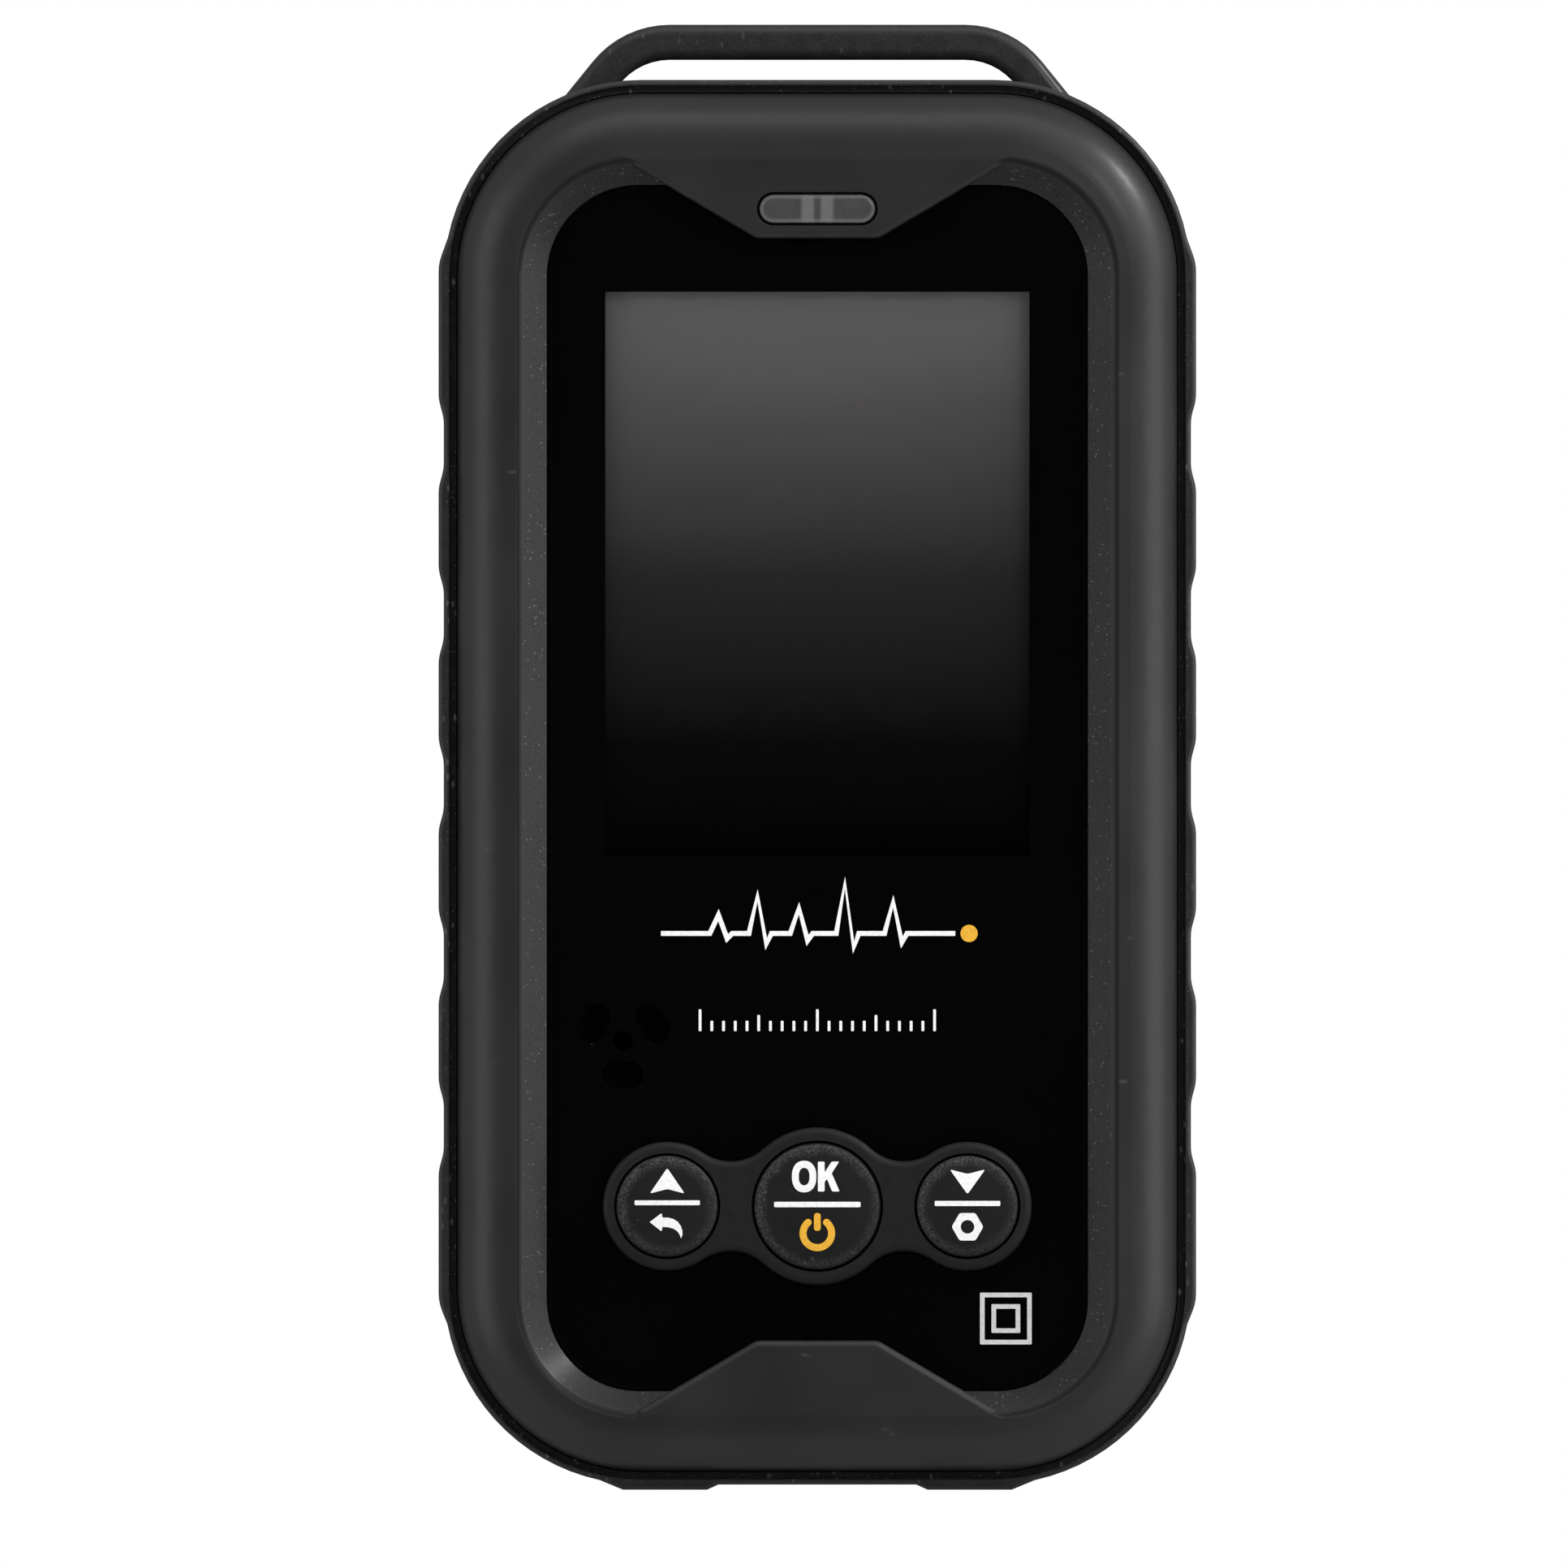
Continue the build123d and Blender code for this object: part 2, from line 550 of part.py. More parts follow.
def make_lcd_gasket():
    """A thin frame of foam between the print and the display's glass."""
    outer = Pos(0, SCREEN_Z) * Rectangle(SCREEN_W + 3.6, SCREEN_H + 2.6)
    inner = Pos(0, SCREEN_Z) * Rectangle(SCREEN_W + 0.8, SCREEN_H + 0.8)
    return slab(outer - inner, TAPE_Y, LCD_GLASS_Y)


def make_lcd_glass():
    return block(0, LCD_TOP - LCD_GLASS_H / 2, LCD_W - 0.6, LCD_GLASS_H, LCD_GLASS_Y, LCD_LIGHT_Y)


def make_lcd_backlight():
    return block(0, LCD_Z, LCD_W, LCD_H, LCD_LIGHT_Y, LCD_HOLDER_Y, 0.6)


def make_lcd_holder():
    """A ribbed plastic tray that carries the display above the board."""
    tray = block(0, LCD_Z, LCD_W, LCD_H - 6, LCD_HOLDER_Y, LCD_PAD_Y, 0.6)
    columns, rows = 3, 4
    width, height = (LCD_W - 3.0) / columns, (LCD_H - 9.0) / rows
    for column in range(columns):
        for row in range(rows):
            x = (column - (columns - 1) / 2) * width
            z = LCD_Z + (row - (rows - 1) / 2) * height
            tray -= block(x, z, width - 1.6, height - 1.6, LCD_HOLDER_Y + 0.8, LCD_PAD_Y + 1, 0.5)
    return tray


def make_lcd_pad():
    return block(0, LCD_Z, LCD_W - 1, LCD_H - 7, LCD_PAD_Y, BOARD_FRONT_Y)


def make_lcd_flex():
    """The flat ribbon from the display's lower ledge, round its lower edge, to the connector."""
    width, thick = 18.0, 0.16
    y_ledge = LCD_LIGHT_Y - 0.25
    y_plug = BOARD_FRONT_Y - 0.7
    z_ledge = LCD_TOP - LCD_GLASS_H
    z_turn = LCD_TOP - LCD_H - 0.9
    path = FilletPolyline(
        (FLEX_X, y_ledge, z_ledge),
        (FLEX_X, y_ledge, z_turn),
        (FLEX_X, y_plug, z_turn - 0.6),
        (FLEX_X, y_plug, FLEX_END_Z),
        radius=0.3,
    )
    section = Plane(origin=path @ 0, x_dir=(1, 0, 0), z_dir=(0, 0, -1))
    return sweep(section * Rectangle(width, thick), path)


def make_lcd_connector():
    return block(FLEX_X, FLEX_END_Z - 2.0, 20.0, 4.0, BOARD_FRONT_Y - 1.3, BOARD_FRONT_Y, 0.3)


# ---------------------------------------------------------------- circuit board
def make_board():
    board = slab(cover_outline(-WALL - BOARD_EDGE_GAP), BOARD_FRONT_Y, BOARD_BACK_Y)
    for x, z in CASE_SCREWS:
        board -= rod(x, z, 3.6, BOARD_FRONT_Y - 1, BOARD_BACK_Y + 1)
    for x, z in POSTS:
        board -= rod(x, z, 1.15, BOARD_FRONT_Y - 1, BOARD_BACK_Y + 1)
    return board


def make_board_screws():
    head_r, head_h, shank_r = 1.7, 1.2, 0.8
    tip_y = CAVITY_Y + 0.8
    return group(*[screw(x, z, head_r, head_h, shank_r, BOARD_BACK_Y, tip_y) for x, z in POSTS])


SWITCH_TOP_Y = BOARD_FRONT_Y - 2.0
PLUNGER_Y = SWITCH_TOP_Y - 0.7
PLUNGER_R = 1.6
PLUNGER_SUNK = 0.7  # how far the plunger reaches into its switch at rest


def make_switch_bodies():
    bodies = []
    for _, x, _ in KEYS:
        body = block(x, KEY_Z, 6.2, 6.2, SWITCH_TOP_Y, BOARD_FRONT_Y, 0.5)
        well_y = SWITCH_TOP_Y + PLUNGER_SUNK + KEY_TRAVEL + 0.1
        bodies.append(body - rod(x, KEY_Z, PLUNGER_R + 0.1, SWITCH_TOP_Y - 1, well_y))
    return group(*bodies)


def make_plunger(x):
    plunger = rod(x, KEY_Z, PLUNGER_R, PLUNGER_Y, SWITCH_TOP_Y + PLUNGER_SUNK)
    return fillet(edges_at_y(plunger, PLUNGER_Y), 0.2)


def make_leds():
    return group(
        *[
            block(x, LENS_Z, 1.6, 0.9, BOARD_FRONT_Y - 0.8, BOARD_FRONT_Y, 0.1)
            for x in (-1.2, 1.2)
        ]
    )


def make_usb_shell():
    wall = 0.3
    shell = usb_slot(USB_W, USB_T, USB_MOUTH_Z, USB_MOUTH_Z + USB_L)
    return shell - usb_slot(
        USB_W - 2 * wall, USB_T - 2 * wall, USB_MOUTH_Z - 1, USB_MOUTH_Z + USB_L - wall
    )


def make_usb_tongue():
    plane = Plane(origin=(0, USB_Y, USB_MOUTH_Z + 0.8), x_dir=(1, 0, 0), z_dir=(0, 0, 1))
    tongue = extrude(plane * Rectangle(6.6, 0.7), USB_L - 0.8 - 0.3)
    root = Plane(origin=(0, USB_Y, USB_MOUTH_Z + USB_L - 1.6), x_dir=(1, 0, 0), z_dir=(0, 0, 1))
    return tongue + extrude(root * RectangleRounded(8.2, 2.5, 1.2), 1.3)


def chip(x, z, size, height, pins):
    """A square chip on the board's back face with a row of legs on two sides."""
    top = BOARD_BACK_Y + height
    body = chamfer(
        edges_at_y(block(x, z, size, size, BOARD_BACK_Y + 0.1, top), top), 0.2
    )
    pitch = size * 0.9 / pins
    parts = [body]
    for n in range(pins):
        z_pin = z + (n - (pins - 1) / 2) * pitch
        for side in (-1, 1):
            x_pin = x + side * (size / 2 + 0.4)
            parts.append(
                block(x_pin, z_pin, 0.8, pitch * 0.45, BOARD_BACK_Y, BOARD_BACK_Y + height * 0.5)
            )
    return parts


def make_processor():
    return group(*chip(-6.0, 35.0, 9.0, 1.4, 12))


def make_small_chips():
    parts = []
    for x, z, size in ((7.0, 14.0, 4.0), (-18.0, 42.0, 3.6), (5.0, 44.0, 4.4)):
        parts += chip(x, z, size, 1.1, 4)
    return group(*parts)


HV_X, HV_Z = -17.0, 27.0


def make_transformer_core():
    """The two-legged ferrite core of the high-voltage transformer."""
    y0, y1 = BOARD_BACK_Y, BOARD_BACK_Y + 6.5
    core = block(HV_X, HV_Z, 9.0, 8.0, y0, y1, 0.4)
    for side in (-1, 1):
        core -= block(HV_X + side * 2.6, HV_Z, 2.2, 9.0, y0 + 1.4, y1 - 1.4)
    return core


def make_transformer_coil():
    """The winding round the core's middle leg."""
    y0, y1 = BOARD_BACK_Y + 1.5, BOARD_BACK_Y + 5.0
    coil = block(HV_X, HV_Z, 7.0, 11.6, y0, y1, 1.6)
    return coil - block(HV_X, HV_Z, 3.2, 8.2, y0 - 1, y1 + 1)


def make_hv_capacitors():
    cans = []
    for x in (-24.0, -18.6):
        can = rod(x, 17.9, 2.3, BOARD_BACK_Y, BOARD_BACK_Y + 5.4)
        cans.append(fillet(edges_at_y(can, BOARD_BACK_Y + 5.4), 0.4))
    return group(*cans)


# ---------------------------------------------------------------- detector tube
def tube_part(radius, z_low, z_high):
    """A round bar along Z on the tube's axis."""
    plane = Plane(origin=(TUBE_X, TUBE_Y, z_low), x_dir=(1, 0, 0), z_dir=(0, 0, 1))
    return extrude(plane * Circle(radius), z_high - z_low)


def make_tube_glass():
    low, high = TUBE_LOW + TUBE_CAP_L, TUBE_HIGH - TUBE_CAP_L
    return tube_part(TUBE_R - 0.3, low, high) - tube_part(TUBE_R - 0.9, low - 1, high + 1)


def make_tube_caps():
    """The metal end caps, each with its contact nipple."""
    caps = []
    for low, nipple_low in ((TUBE_LOW, TUBE_LOW - 2.0), (TUBE_HIGH - TUBE_CAP_L, TUBE_HIGH)):
        cap = tube_part(TUBE_R, low, low + TUBE_CAP_L)
        ends = cap.edges().filter_by(GeomType.CIRCLE)
        cap = fillet(ends, 0.4)
        caps.append(cap + tube_part(1.2, nipple_low, nipple_low + 2.0))
    return group(*caps)


def make_anode_wire():
    return tube_part(0.3, TUBE_LOW + TUBE_CAP_L, TUBE_HIGH - TUBE_CAP_L)


def make_tube_sleeves():
    """Metal filter sleeves round the glass, with gaps between them."""
    sleeves = []
    for n in range(3):
        low = TUBE_LOW + TUBE_CAP_L + SLEEVE_START + n * SLEEVE_PITCH
        high = low + SLEEVE_L
        sleeves.append(tube_part(TUBE_R + 0.1, low, high) - tube_part(TUBE_R - 0.25, low - 1, high + 1))
    return group(*sleeves)


def make_tube_clips():
    """Spring clips on the board that hold the end caps, open towards the back."""
    clips = []
    for z in (TUBE_LOW + TUBE_CAP_L / 2, TUBE_HIGH - TUBE_CAP_L / 2):
        plane = Plane(origin=(TUBE_X, TUBE_Y, z - 2.4), x_dir=(1, 0, 0), z_dir=(0, 0, 1))
        jaw = Circle(TUBE_R + 0.5) - Circle(TUBE_R + 0.05)
        jaw -= Pos(0, TUBE_R + 1.5) * Rectangle(20, TUBE_R + 1.0)
        foot_y = BOARD_BACK_Y - TUBE_Y
        stem_top = -(TUBE_R + 0.2)
        jaw += Pos(0, (foot_y + stem_top) / 2) * Rectangle(2.4, stem_top - foot_y)
        jaw += Pos(0, foot_y + 0.25) * Rectangle(8.0, 0.5)
        clips.append(extrude(plane * jaw, 4.8))
    return group(*clips)


def make_tube_cushions():
    """Soft rings between the sleeves that keep the glass from knocking on the case."""
    rings = []
    for n in range(2):
        low = TUBE_LOW + TUBE_CAP_L + SLEEVE_START + SLEEVE_L + 0.3 + n * SLEEVE_PITCH
        high = low + 1.9
        rings.append(tube_part(TUBE_R + 1.2, low, high) - tube_part(TUBE_R - 0.25, low - 1, high + 1))
    return group(*rings)


# ---------------------------------------------------------------- battery
BATTERY_BACK_Y = BACK_INSIDE_Y - 0.3
BATTERY_FRONT_Y = BATTERY_BACK_Y - BATTERY_T
LEAD_R = 0.6
PLUG_X, PLUG_Z = -4.0, 112.6


def make_battery():
    cell = block(BATTERY_X, BATTERY_Z, BATTERY_W, BATTERY_H, BATTERY_FRONT_Y, BATTERY_BACK_Y, 2.5)
    return fillet(edges_at_y(cell, BATTERY_FRONT_Y) + edges_at_y(cell, BATTERY_BACK_Y), 1.2)


def make_battery_pad():
    return block(BATTERY_X, BATTERY_Z, BATTERY_W - 6, BATTERY_H - 8, BATTERY_BACK_Y, BACK_INSIDE_Y)


def make_battery_board():
    top = BATTERY_Z + BATTERY_H / 2
    return block(BATTERY_X, top + 1.6, BATTERY_W - 8, 3.0, 6.6, 7.8)


def make_battery_header():
    return block(PLUG_X, PLUG_Z, 7.0, 4.4, BOARD_BACK_Y, BOARD_BACK_Y + 3.4, 0.3)


def make_battery_plug():
    return block(PLUG_X, PLUG_Z, 5.4, 3.4, BOARD_BACK_Y + 3.4, BOARD_BACK_Y + 6.0, 0.3)


def make_battery_lead(side):
    """One lead, from the cell's protection board to the plug."""
    x = PLUG_X + side * 1.3
    board_z = BATTERY_Z + BATTERY_H / 2 + 3.1
    path = FilletPolyline(
        (x, 7.2, board_z), (x, 7.2, PLUG_Z), (x, BOARD_BACK_Y + 6.0, PLUG_Z), radius=2.2
    )
    section = Plane(origin=path @ 0, x_dir=(1, 0, 0), z_dir=(0, 0, 1))
    return sweep(section * Circle(LEAD_R), path)


# ---------------------------------------------------------------- output
def all_parts():
    parts = {
        "front_cover": make_front_cover(),
        "rear_cover": make_rear_cover(),
        "grip_band": make_grip_band(),
        "case_gasket": make_case_gasket(),
        "case_screws": make_case_screws(),
        "rear_label": make_rear_label(),
        "sensor_film": make_sensor_film(),
        "window_glass": make_window_glass(),
        "window_ink": make_window_ink(),
        "window_tape": make_window_tape(),
        "key_bezel": make_key_bezel(),
        "indicator_lens": make_lens(),
        "sound_mesh": make_sound_mesh(),
        "sound_gasket": make_sound_gasket(),
        "buzzer": make_buzzer(),
        "lcd_gasket": make_lcd_gasket(),
        "lcd_glass": make_lcd_glass(),
        "lcd_backlight": make_lcd_backlight(),
        "lcd_holder": make_lcd_holder(),
        "lcd_pad": make_lcd_pad(),
        "lcd_flex": make_lcd_flex(),
        "lcd_connector": make_lcd_connector(),
        "main_board": make_board(),
        "board_screws": make_board_screws(),
        "switch_bodies": make_switch_bodies(),
        "indicator_leds": make_leds(),
        "usb_shell": make_usb_shell(),
        "usb_tongue": make_usb_tongue(),
        "processor_chip": make_processor(),
        "small_chips": make_small_chips(),
        "transformer_core": make_transformer_core(),
        "transformer_coil": make_transformer_coil(),
        "hv_capacitors": make_hv_capacitors(),
        "tube_glass": make_tube_glass(),
        "tube_caps": make_tube_caps(),
        "tube_anode_wire": make_anode_wire(),
        "tube_sleeves": make_tube_sleeves(),
        "tube_clips": make_tube_clips(),
        "tube_cushions": make_tube_cushions(),
        "battery_cell": make_battery(),
        "battery_pad": make_battery_pad(),
        "battery_board": make_battery_board(),
        "battery_header": make_battery_header(),
        "battery_plug": make_battery_plug(),
        "battery_lead_positive": make_battery_lead(1),
        "battery_lead_negative": make_battery_lead(-1),
    }
    for name, x, radius in KEYS:
        parts[f"button_{name}"] = make_key(x, radius)
        parts[f"switch_plunger_{name}"] = make_plunger(x)
    return parts


os.makedirs("parts", exist_ok=True)
for node, shape in all_parts().items():
    export_step(shape, f"parts/{node}.step")
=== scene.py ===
"""Looks of a handheld radiation detector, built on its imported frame.

Metres, +Z up, the display side faces -Y. Sizes written as n * MM are in millimetres.
"""

import math

import bmesh
import bpy
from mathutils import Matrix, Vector
from mathutils.bvhtree import BVHTree


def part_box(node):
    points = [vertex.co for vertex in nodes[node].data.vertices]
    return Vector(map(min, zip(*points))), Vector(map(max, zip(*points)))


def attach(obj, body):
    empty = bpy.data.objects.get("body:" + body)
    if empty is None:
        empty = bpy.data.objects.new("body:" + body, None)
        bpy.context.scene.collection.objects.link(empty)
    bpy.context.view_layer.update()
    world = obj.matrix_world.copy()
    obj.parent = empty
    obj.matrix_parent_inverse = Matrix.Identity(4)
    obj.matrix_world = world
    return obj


MM = 0.001

# Print on the keys and on the window
PRINT_THICK = 0.03 * MM
PRINT_GRID = 0.45 * MM
ARC_STEP = math.radians(9)

# Outlines of the front, as half width, bottom, top and corner radius in millimetres
COVER_OUTLINE = (31.3, 1.65, 121.45, 16.0)
CREASE_OUTLINE = (26.0, 6.5, 115.75, 10.2)
LENS_HALF, LENS_HALF_HEIGHT, LENS_RADIUS = 5.05, 1.25, 1.24
SCREEN_HALF, SCREEN_LOW, SCREEN_HIGH = 18.45, 55.12, 104.22

# The window and the display behind it
CLEAR_ALPHA = 0.3  # how much of the clear pane's own surface shows over the display
# Display tones from bottom to top: a painted reflection, paler towards the top
DISPLAY_REFLECTION_TONES = ((0.0, 0.0009), (0.2, 0.0085), (0.5, 0.070), (0.8, 0.25), (1.0, 0.44))
DISPLAY_TINT = (1.0, 0.955, 0.965)

# Depths of the front cover, in millimetres: where its slanted recess and its rim begin
RECESS_FROM, RECESS_FULL = -13.42, -13.1
RIM_FROM, RIM_FULL = -13.49, -13.46
KEY_FLANGE = 0.9  # a key's flange is this much wider than its cap, all round

# Camera: a parallel view straight from the front
CAMERA_DISTANCE = 0.6
CAMERA_CENTRE = Vector((-0.0029, 0.0, 0.0614))
CAMERA_SPAN = 0.1364

# Surroundings: what smooth and rough surfaces reflect from straight ahead (0) round to behind (1)
GLOSSY_CURVE = ((0.0, 0.0), (0.04, 0.0), (0.16, 0.48), (0.5, 0.45), (0.7, 0.30), (1.0, 0.30))
DIFFUSE_LIGHT = 0.7

# Soft boxes: name, place, size and power; all but the last two are large
SOFT_BOXES = (
    ("light_left", (-0.75, -0.34, 0.14), (0.45, 0.8), 1.6),
    ("light_right", (0.8, -0.24, 0.18), (0.6, 0.8), 2.65),
    ("light_top", (0.0, -0.35, 0.90), (0.9, 0.4), 1.7),
    ("light_corner", (0.42, -0.72, 0.42), (0.14, 0.14), 1.1),
    ("light_edge", (0.66, -0.14, 0.60), (0.10, 0.10), 3.2),
)
LIGHT_AIM = Vector((0, 0, 0.06))

# Prints on the window, as places in millimetres
TRACE_Z, TRACE_START, TRACE_END, TRACE_DOT_X = 48.4, -13.6, 12.0, 13.2
PULSES = ((-8.6, 1.6), (-5.2, 3.3), (-1.6, 2.2), (2.4, 4.4), (6.6, 2.8))
SCALE_Z, TICK_COUNT, TICK_PITCH, TICK_WIDTH = 40.6, 21, 1.02, 0.24
SQUARES_X, SQUARES_Z = 16.4, 14.9

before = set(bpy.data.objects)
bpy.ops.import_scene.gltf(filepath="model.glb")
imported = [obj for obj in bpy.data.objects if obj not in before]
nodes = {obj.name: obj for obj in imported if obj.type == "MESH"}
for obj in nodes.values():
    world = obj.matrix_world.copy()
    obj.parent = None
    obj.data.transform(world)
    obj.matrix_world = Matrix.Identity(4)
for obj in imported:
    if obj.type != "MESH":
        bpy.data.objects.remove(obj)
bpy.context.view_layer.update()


# ---------------------------------------------------------------- material building
class Look:
    """A material under construction: one Principled shader and short calls that add nodes."""

    def __init__(self, name, colour, roughness, **sockets):
        self.material = bpy.data.materials.new(name)
        self.material.use_nodes = True
        self.tree = self.material.node_tree
        self.shader = self.tree.nodes["Principled BSDF"]
        self.set("Base Color", (*colour, 1.0))
        self.set("Roughness", roughness)
        for socket, value in sockets.items():
            self.set(socket.replace("_", " "), value)
        coordinates = self.node("ShaderNodeTexCoord")
        self.place = self.vector("SCALE", coordinates.outputs["Object"], scale=1 / MM)

    def set(self, socket, value):
        self.shader.inputs[socket].default_value = value

    def node(self, kind, **settings):
        made = self.tree.nodes.new(kind)
        for key, value in settings.items():
            setattr(made, key, value)
        return made

    def feed(self, socket, value):
        """Links an output to a socket, or sets a plain number or tuple on it."""
        if isinstance(value, bpy.types.NodeSocket):
            self.tree.links.new(value, socket)
        else:
            socket.default_value = value

    def math(self, operation, *values, clamp=False):
        made = self.node("ShaderNodeMath", operation=operation, use_clamp=clamp)
        for socket, value in zip(made.inputs, values):
            self.feed(socket, value)
        return made.outputs[0]

    def vector(self, operation, *values, scale=None):
        made = self.node("ShaderNodeVectorMath", operation=operation)
        for socket, value in zip(made.inputs, values):
            self.feed(socket, value)
        if scale is not None:
            self.feed(made.inputs["Scale"], scale)
        return made.outputs["Value"] if operation in ("LENGTH", "DISTANCE") else made.outputs[0]

    def parts(self, vector):
        made = self.node("ShaderNodeSeparateXYZ")
        self.feed(made.inputs[0], vector)
        return made.outputs

    def noise(self, size, detail=3.0, stretch=(1, 1, 1), **sockets):
        """Noise with features about size millimetres across."""
        made = self.node("ShaderNodeTexNoise")
        self.feed(made.inputs["Vector"], self.vector("MULTIPLY", self.place, stretch))
        made.inputs["Scale"].default_value = 1 / size
        made.inputs["Detail"].default_value = detail
        for socket, value in sockets.items():
            made.inputs[socket].default_value = value
        return made.outputs[0]

    def cells(self, size, stretch=(1, 1, 1), feature="F1"):
        """Distance in a pattern of cells about size millimetres across."""
        made = self.node("ShaderNodeTexVoronoi", feature=feature)
        self.feed(made.inputs["Vector"], self.vector("MULTIPLY", self.place, stretch))
        made.inputs["Scale"].default_value = 1 / size
        return made.outputs["Distance"]

    def range(self, value, from_low, from_high, to_low=0.0, to_high=1.0, smooth=True):
        """Maps a value from one range to another, held at its ends."""
        made = self.node("ShaderNodeMapRange", interpolation_type="SMOOTHSTEP" if smooth else "LINEAR")
        for name, number in (
            ("Value", value),
            ("From Min", from_low),
            ("From Max", from_high),
            ("To Min", to_low),
            ("To Max", to_high),
        ):
            self.feed(made.inputs[name], number)
        return made.outputs[0]

    def blend(self, share, low, high):
        """A colour between low and high; either may be a colour or another blend."""
        made = self.node("ShaderNodeMix", data_type="RGBA")
        self.feed(made.inputs["Factor"], share)
        colour_inputs = [s for s in made.inputs if s.type == "RGBA"]
        for socket, colour in zip(colour_inputs, (low, high)):
            self.feed(socket, (*colour, 1.0) if isinstance(colour, tuple) else colour)
        return next(s for s in made.outputs if s.type == "RGBA")

    def colour(self, value):
        self.feed(self.shader.inputs["Base Color"], value)

    def roughness(self, value):
        self.feed(self.shader.inputs["Roughness"], value)

    def bump(self, height, depth, strength=1.0):
        """A bump map whose full height is depth millimetres."""
        made = self.node("ShaderNodeBump")
        made.inputs["Strength"].default_value = strength
        made.inputs["Distance"].default_value = depth * MM
        self.feed(made.inputs["Height"], height)
        self.feed(self.shader.inputs["Normal"], made.outputs[0])

    def outline_distance(self, half, bottom, top, radius):
        """Distance in the front view to a rounded rectangle: negative inside it."""
        x, _, z = self.parts(self.place)
        middle, half_height = (bottom + top) / 2, (top - bottom) / 2
        across = self.math("SUBTRACT", self.math("ABSOLUTE", x), half - radius)
        along = self.math(
            "SUBTRACT",
            self.math("ABSOLUTE", self.math("SUBTRACT", z, middle)),
            half_height - radius,
        )
        outside_x = self.math("MAXIMUM", across, 0.0)
        outside_z = self.math("MAXIMUM", along, 0.0)
        squared = self.math(
            "ADD", self.math("POWER", outside_x, 2.0), self.math("POWER", outside_z, 2.0)
        )
        inside = self.math("MINIMUM", self.math("MAXIMUM", across, along), 0.0)
        reach = self.math("ADD", self.math("SQRT", squared), inside)
        return self.math("SUBTRACT", reach, radius)

    def specks(self, size, share, stretch=(1, 1, 1)):
        """Small light specks, covering about the given share of the surface."""
        spot = self.range(self.cells(size, stretch), 0.10, 0.22, 1.0, 0.0)
        patches = self.range(self.noise(size * 2.3, 2.0, stretch), 1.0 - share - 0.08, 1.0 - share)
        return self.math("MULTIPLY", spot, patches)


def dress(material, *names):
    """Gives CAD nodes their material."""
    for name in names:
        slots = nodes[name].data.materials
        slots.clear()
        slots.append(material)


# ---------------------------------------------------------------- materials
def cover_look():
    """Black moulded plastic: satin outside, spark-eroded grain inside the crease, and a painted shade line
    along the crease.
    """
    look = Look("cover_plastic", (0.017, 0.017, 0.0173), 0.5, Specular_IOR_Level=0.33)
    look.set("Coat Weight", 0.2)
    look.set("Coat Roughness", 0.3)
    crease = look.outline_distance(*CREASE_OUTLINE)
    _, depth, _ = look.parts(look.place)
    recessed = look.range(depth, RECESS_FROM, RECESS_FULL)
    bevel = look.math("MULTIPLY", look.range(crease, -0.55, -0.2, 1.0, 0.0), recessed)
    # A thin dark line along the crease, also lower in specular: painted shade, not a groove in the
    # geometry.
    line = look.range(look.math("ABSOLUTE", look.math("ADD", crease, 0.1)), 0.08, 0.34, 1.0, 0.0)
    below_rim = look.range(depth, RIM_FROM, RIM_FULL)
    line = look.math("MULTIPLY", line, below_rim)
    fine, grain, broad = look.noise(0.09, 2.0), look.noise(0.2, 5.0), look.noise(14.0, 2.0)
    tone = look.blend(look.range(broad, 0.3, 0.7), (0.013, 0.013, 0.0133), (0.017, 0.017, 0.0173))
    grained = look.blend(look.range(grain, 0.3, 0.75), (0.009, 0.009, 0.0093), (0.021, 0.021, 0.0214))
    tone = look.blend(bevel, tone, grained)
    speck = look.math("MULTIPLY", look.specks(0.5, 0.46), bevel)
    tone = look.blend(look.math("MULTIPLY", speck, 0.6), tone, (0.15, 0.15, 0.15))
    lint = look.specks(2.6, 0.30, (1, 1, 2.2))
    tone = look.blend(look.math("MULTIPLY", lint, 0.35), tone, (0.10, 0.10, 0.10))
    look.colour(look.blend(line, tone, (0.006, 0.006, 0.006)))
    look.feed(look.shader.inputs["Specular IOR Level"], look.range(line, 0.0, 1.0, 0.33, 0.18))
    gloss = look.math("ADD", broad, look.math("MULTIPLY", bevel, 0.6))
    look.roughness(look.range(gloss, 0.3, 1.3, 0.46, 0.68))
    rough_part = look.math("MULTIPLY", grain, bevel)
    look.bump(look.math("ADD", look.math("MULTIPLY", fine, 0.05), rough_part), 0.09, 0.6)
    return look.material


def band_look():
    """Soft black elastomer that has picked up lint along its inner edge."""
    look = Look("band_rubber", (0.012, 0.012, 0.0122), 0.62, Specular_IOR_Level=0.36)
    look.set("Coat Weight", 0.25)
    look.set("Coat Roughness", 0.28)
    edge = look.outline_distance(*COVER_OUTLINE)
    near = look.range(edge, 0.2, 1.3, 1.0, 0.25)
    cloud = look.noise(1.1, 5.0)
    tone = look.blend(look.range(cloud, 0.35, 0.75), (0.0135, 0.0135, 0.0137), (0.0185, 0.0185, 0.0187))
    fibres = look.math("MAXIMUM", look.specks(0.8, 0.46, (1, 1, 0.45)), look.specks(0.4, 0.48))
    fibres = look.math("MULTIPLY", fibres, near)
    look.colour(look.blend(look.math("MULTIPLY", fibres, 0.8), tone, (0.15, 0.15, 0.15)))
    look.roughness(look.range(cloud, 0.3, 0.8, 0.55, 0.70))
    look.bump(look.math("ADD", look.noise(0.28, 3.0), look.math("MULTIPLY", fibres, 0.7)), 0.05, 0.7)
    return look.material


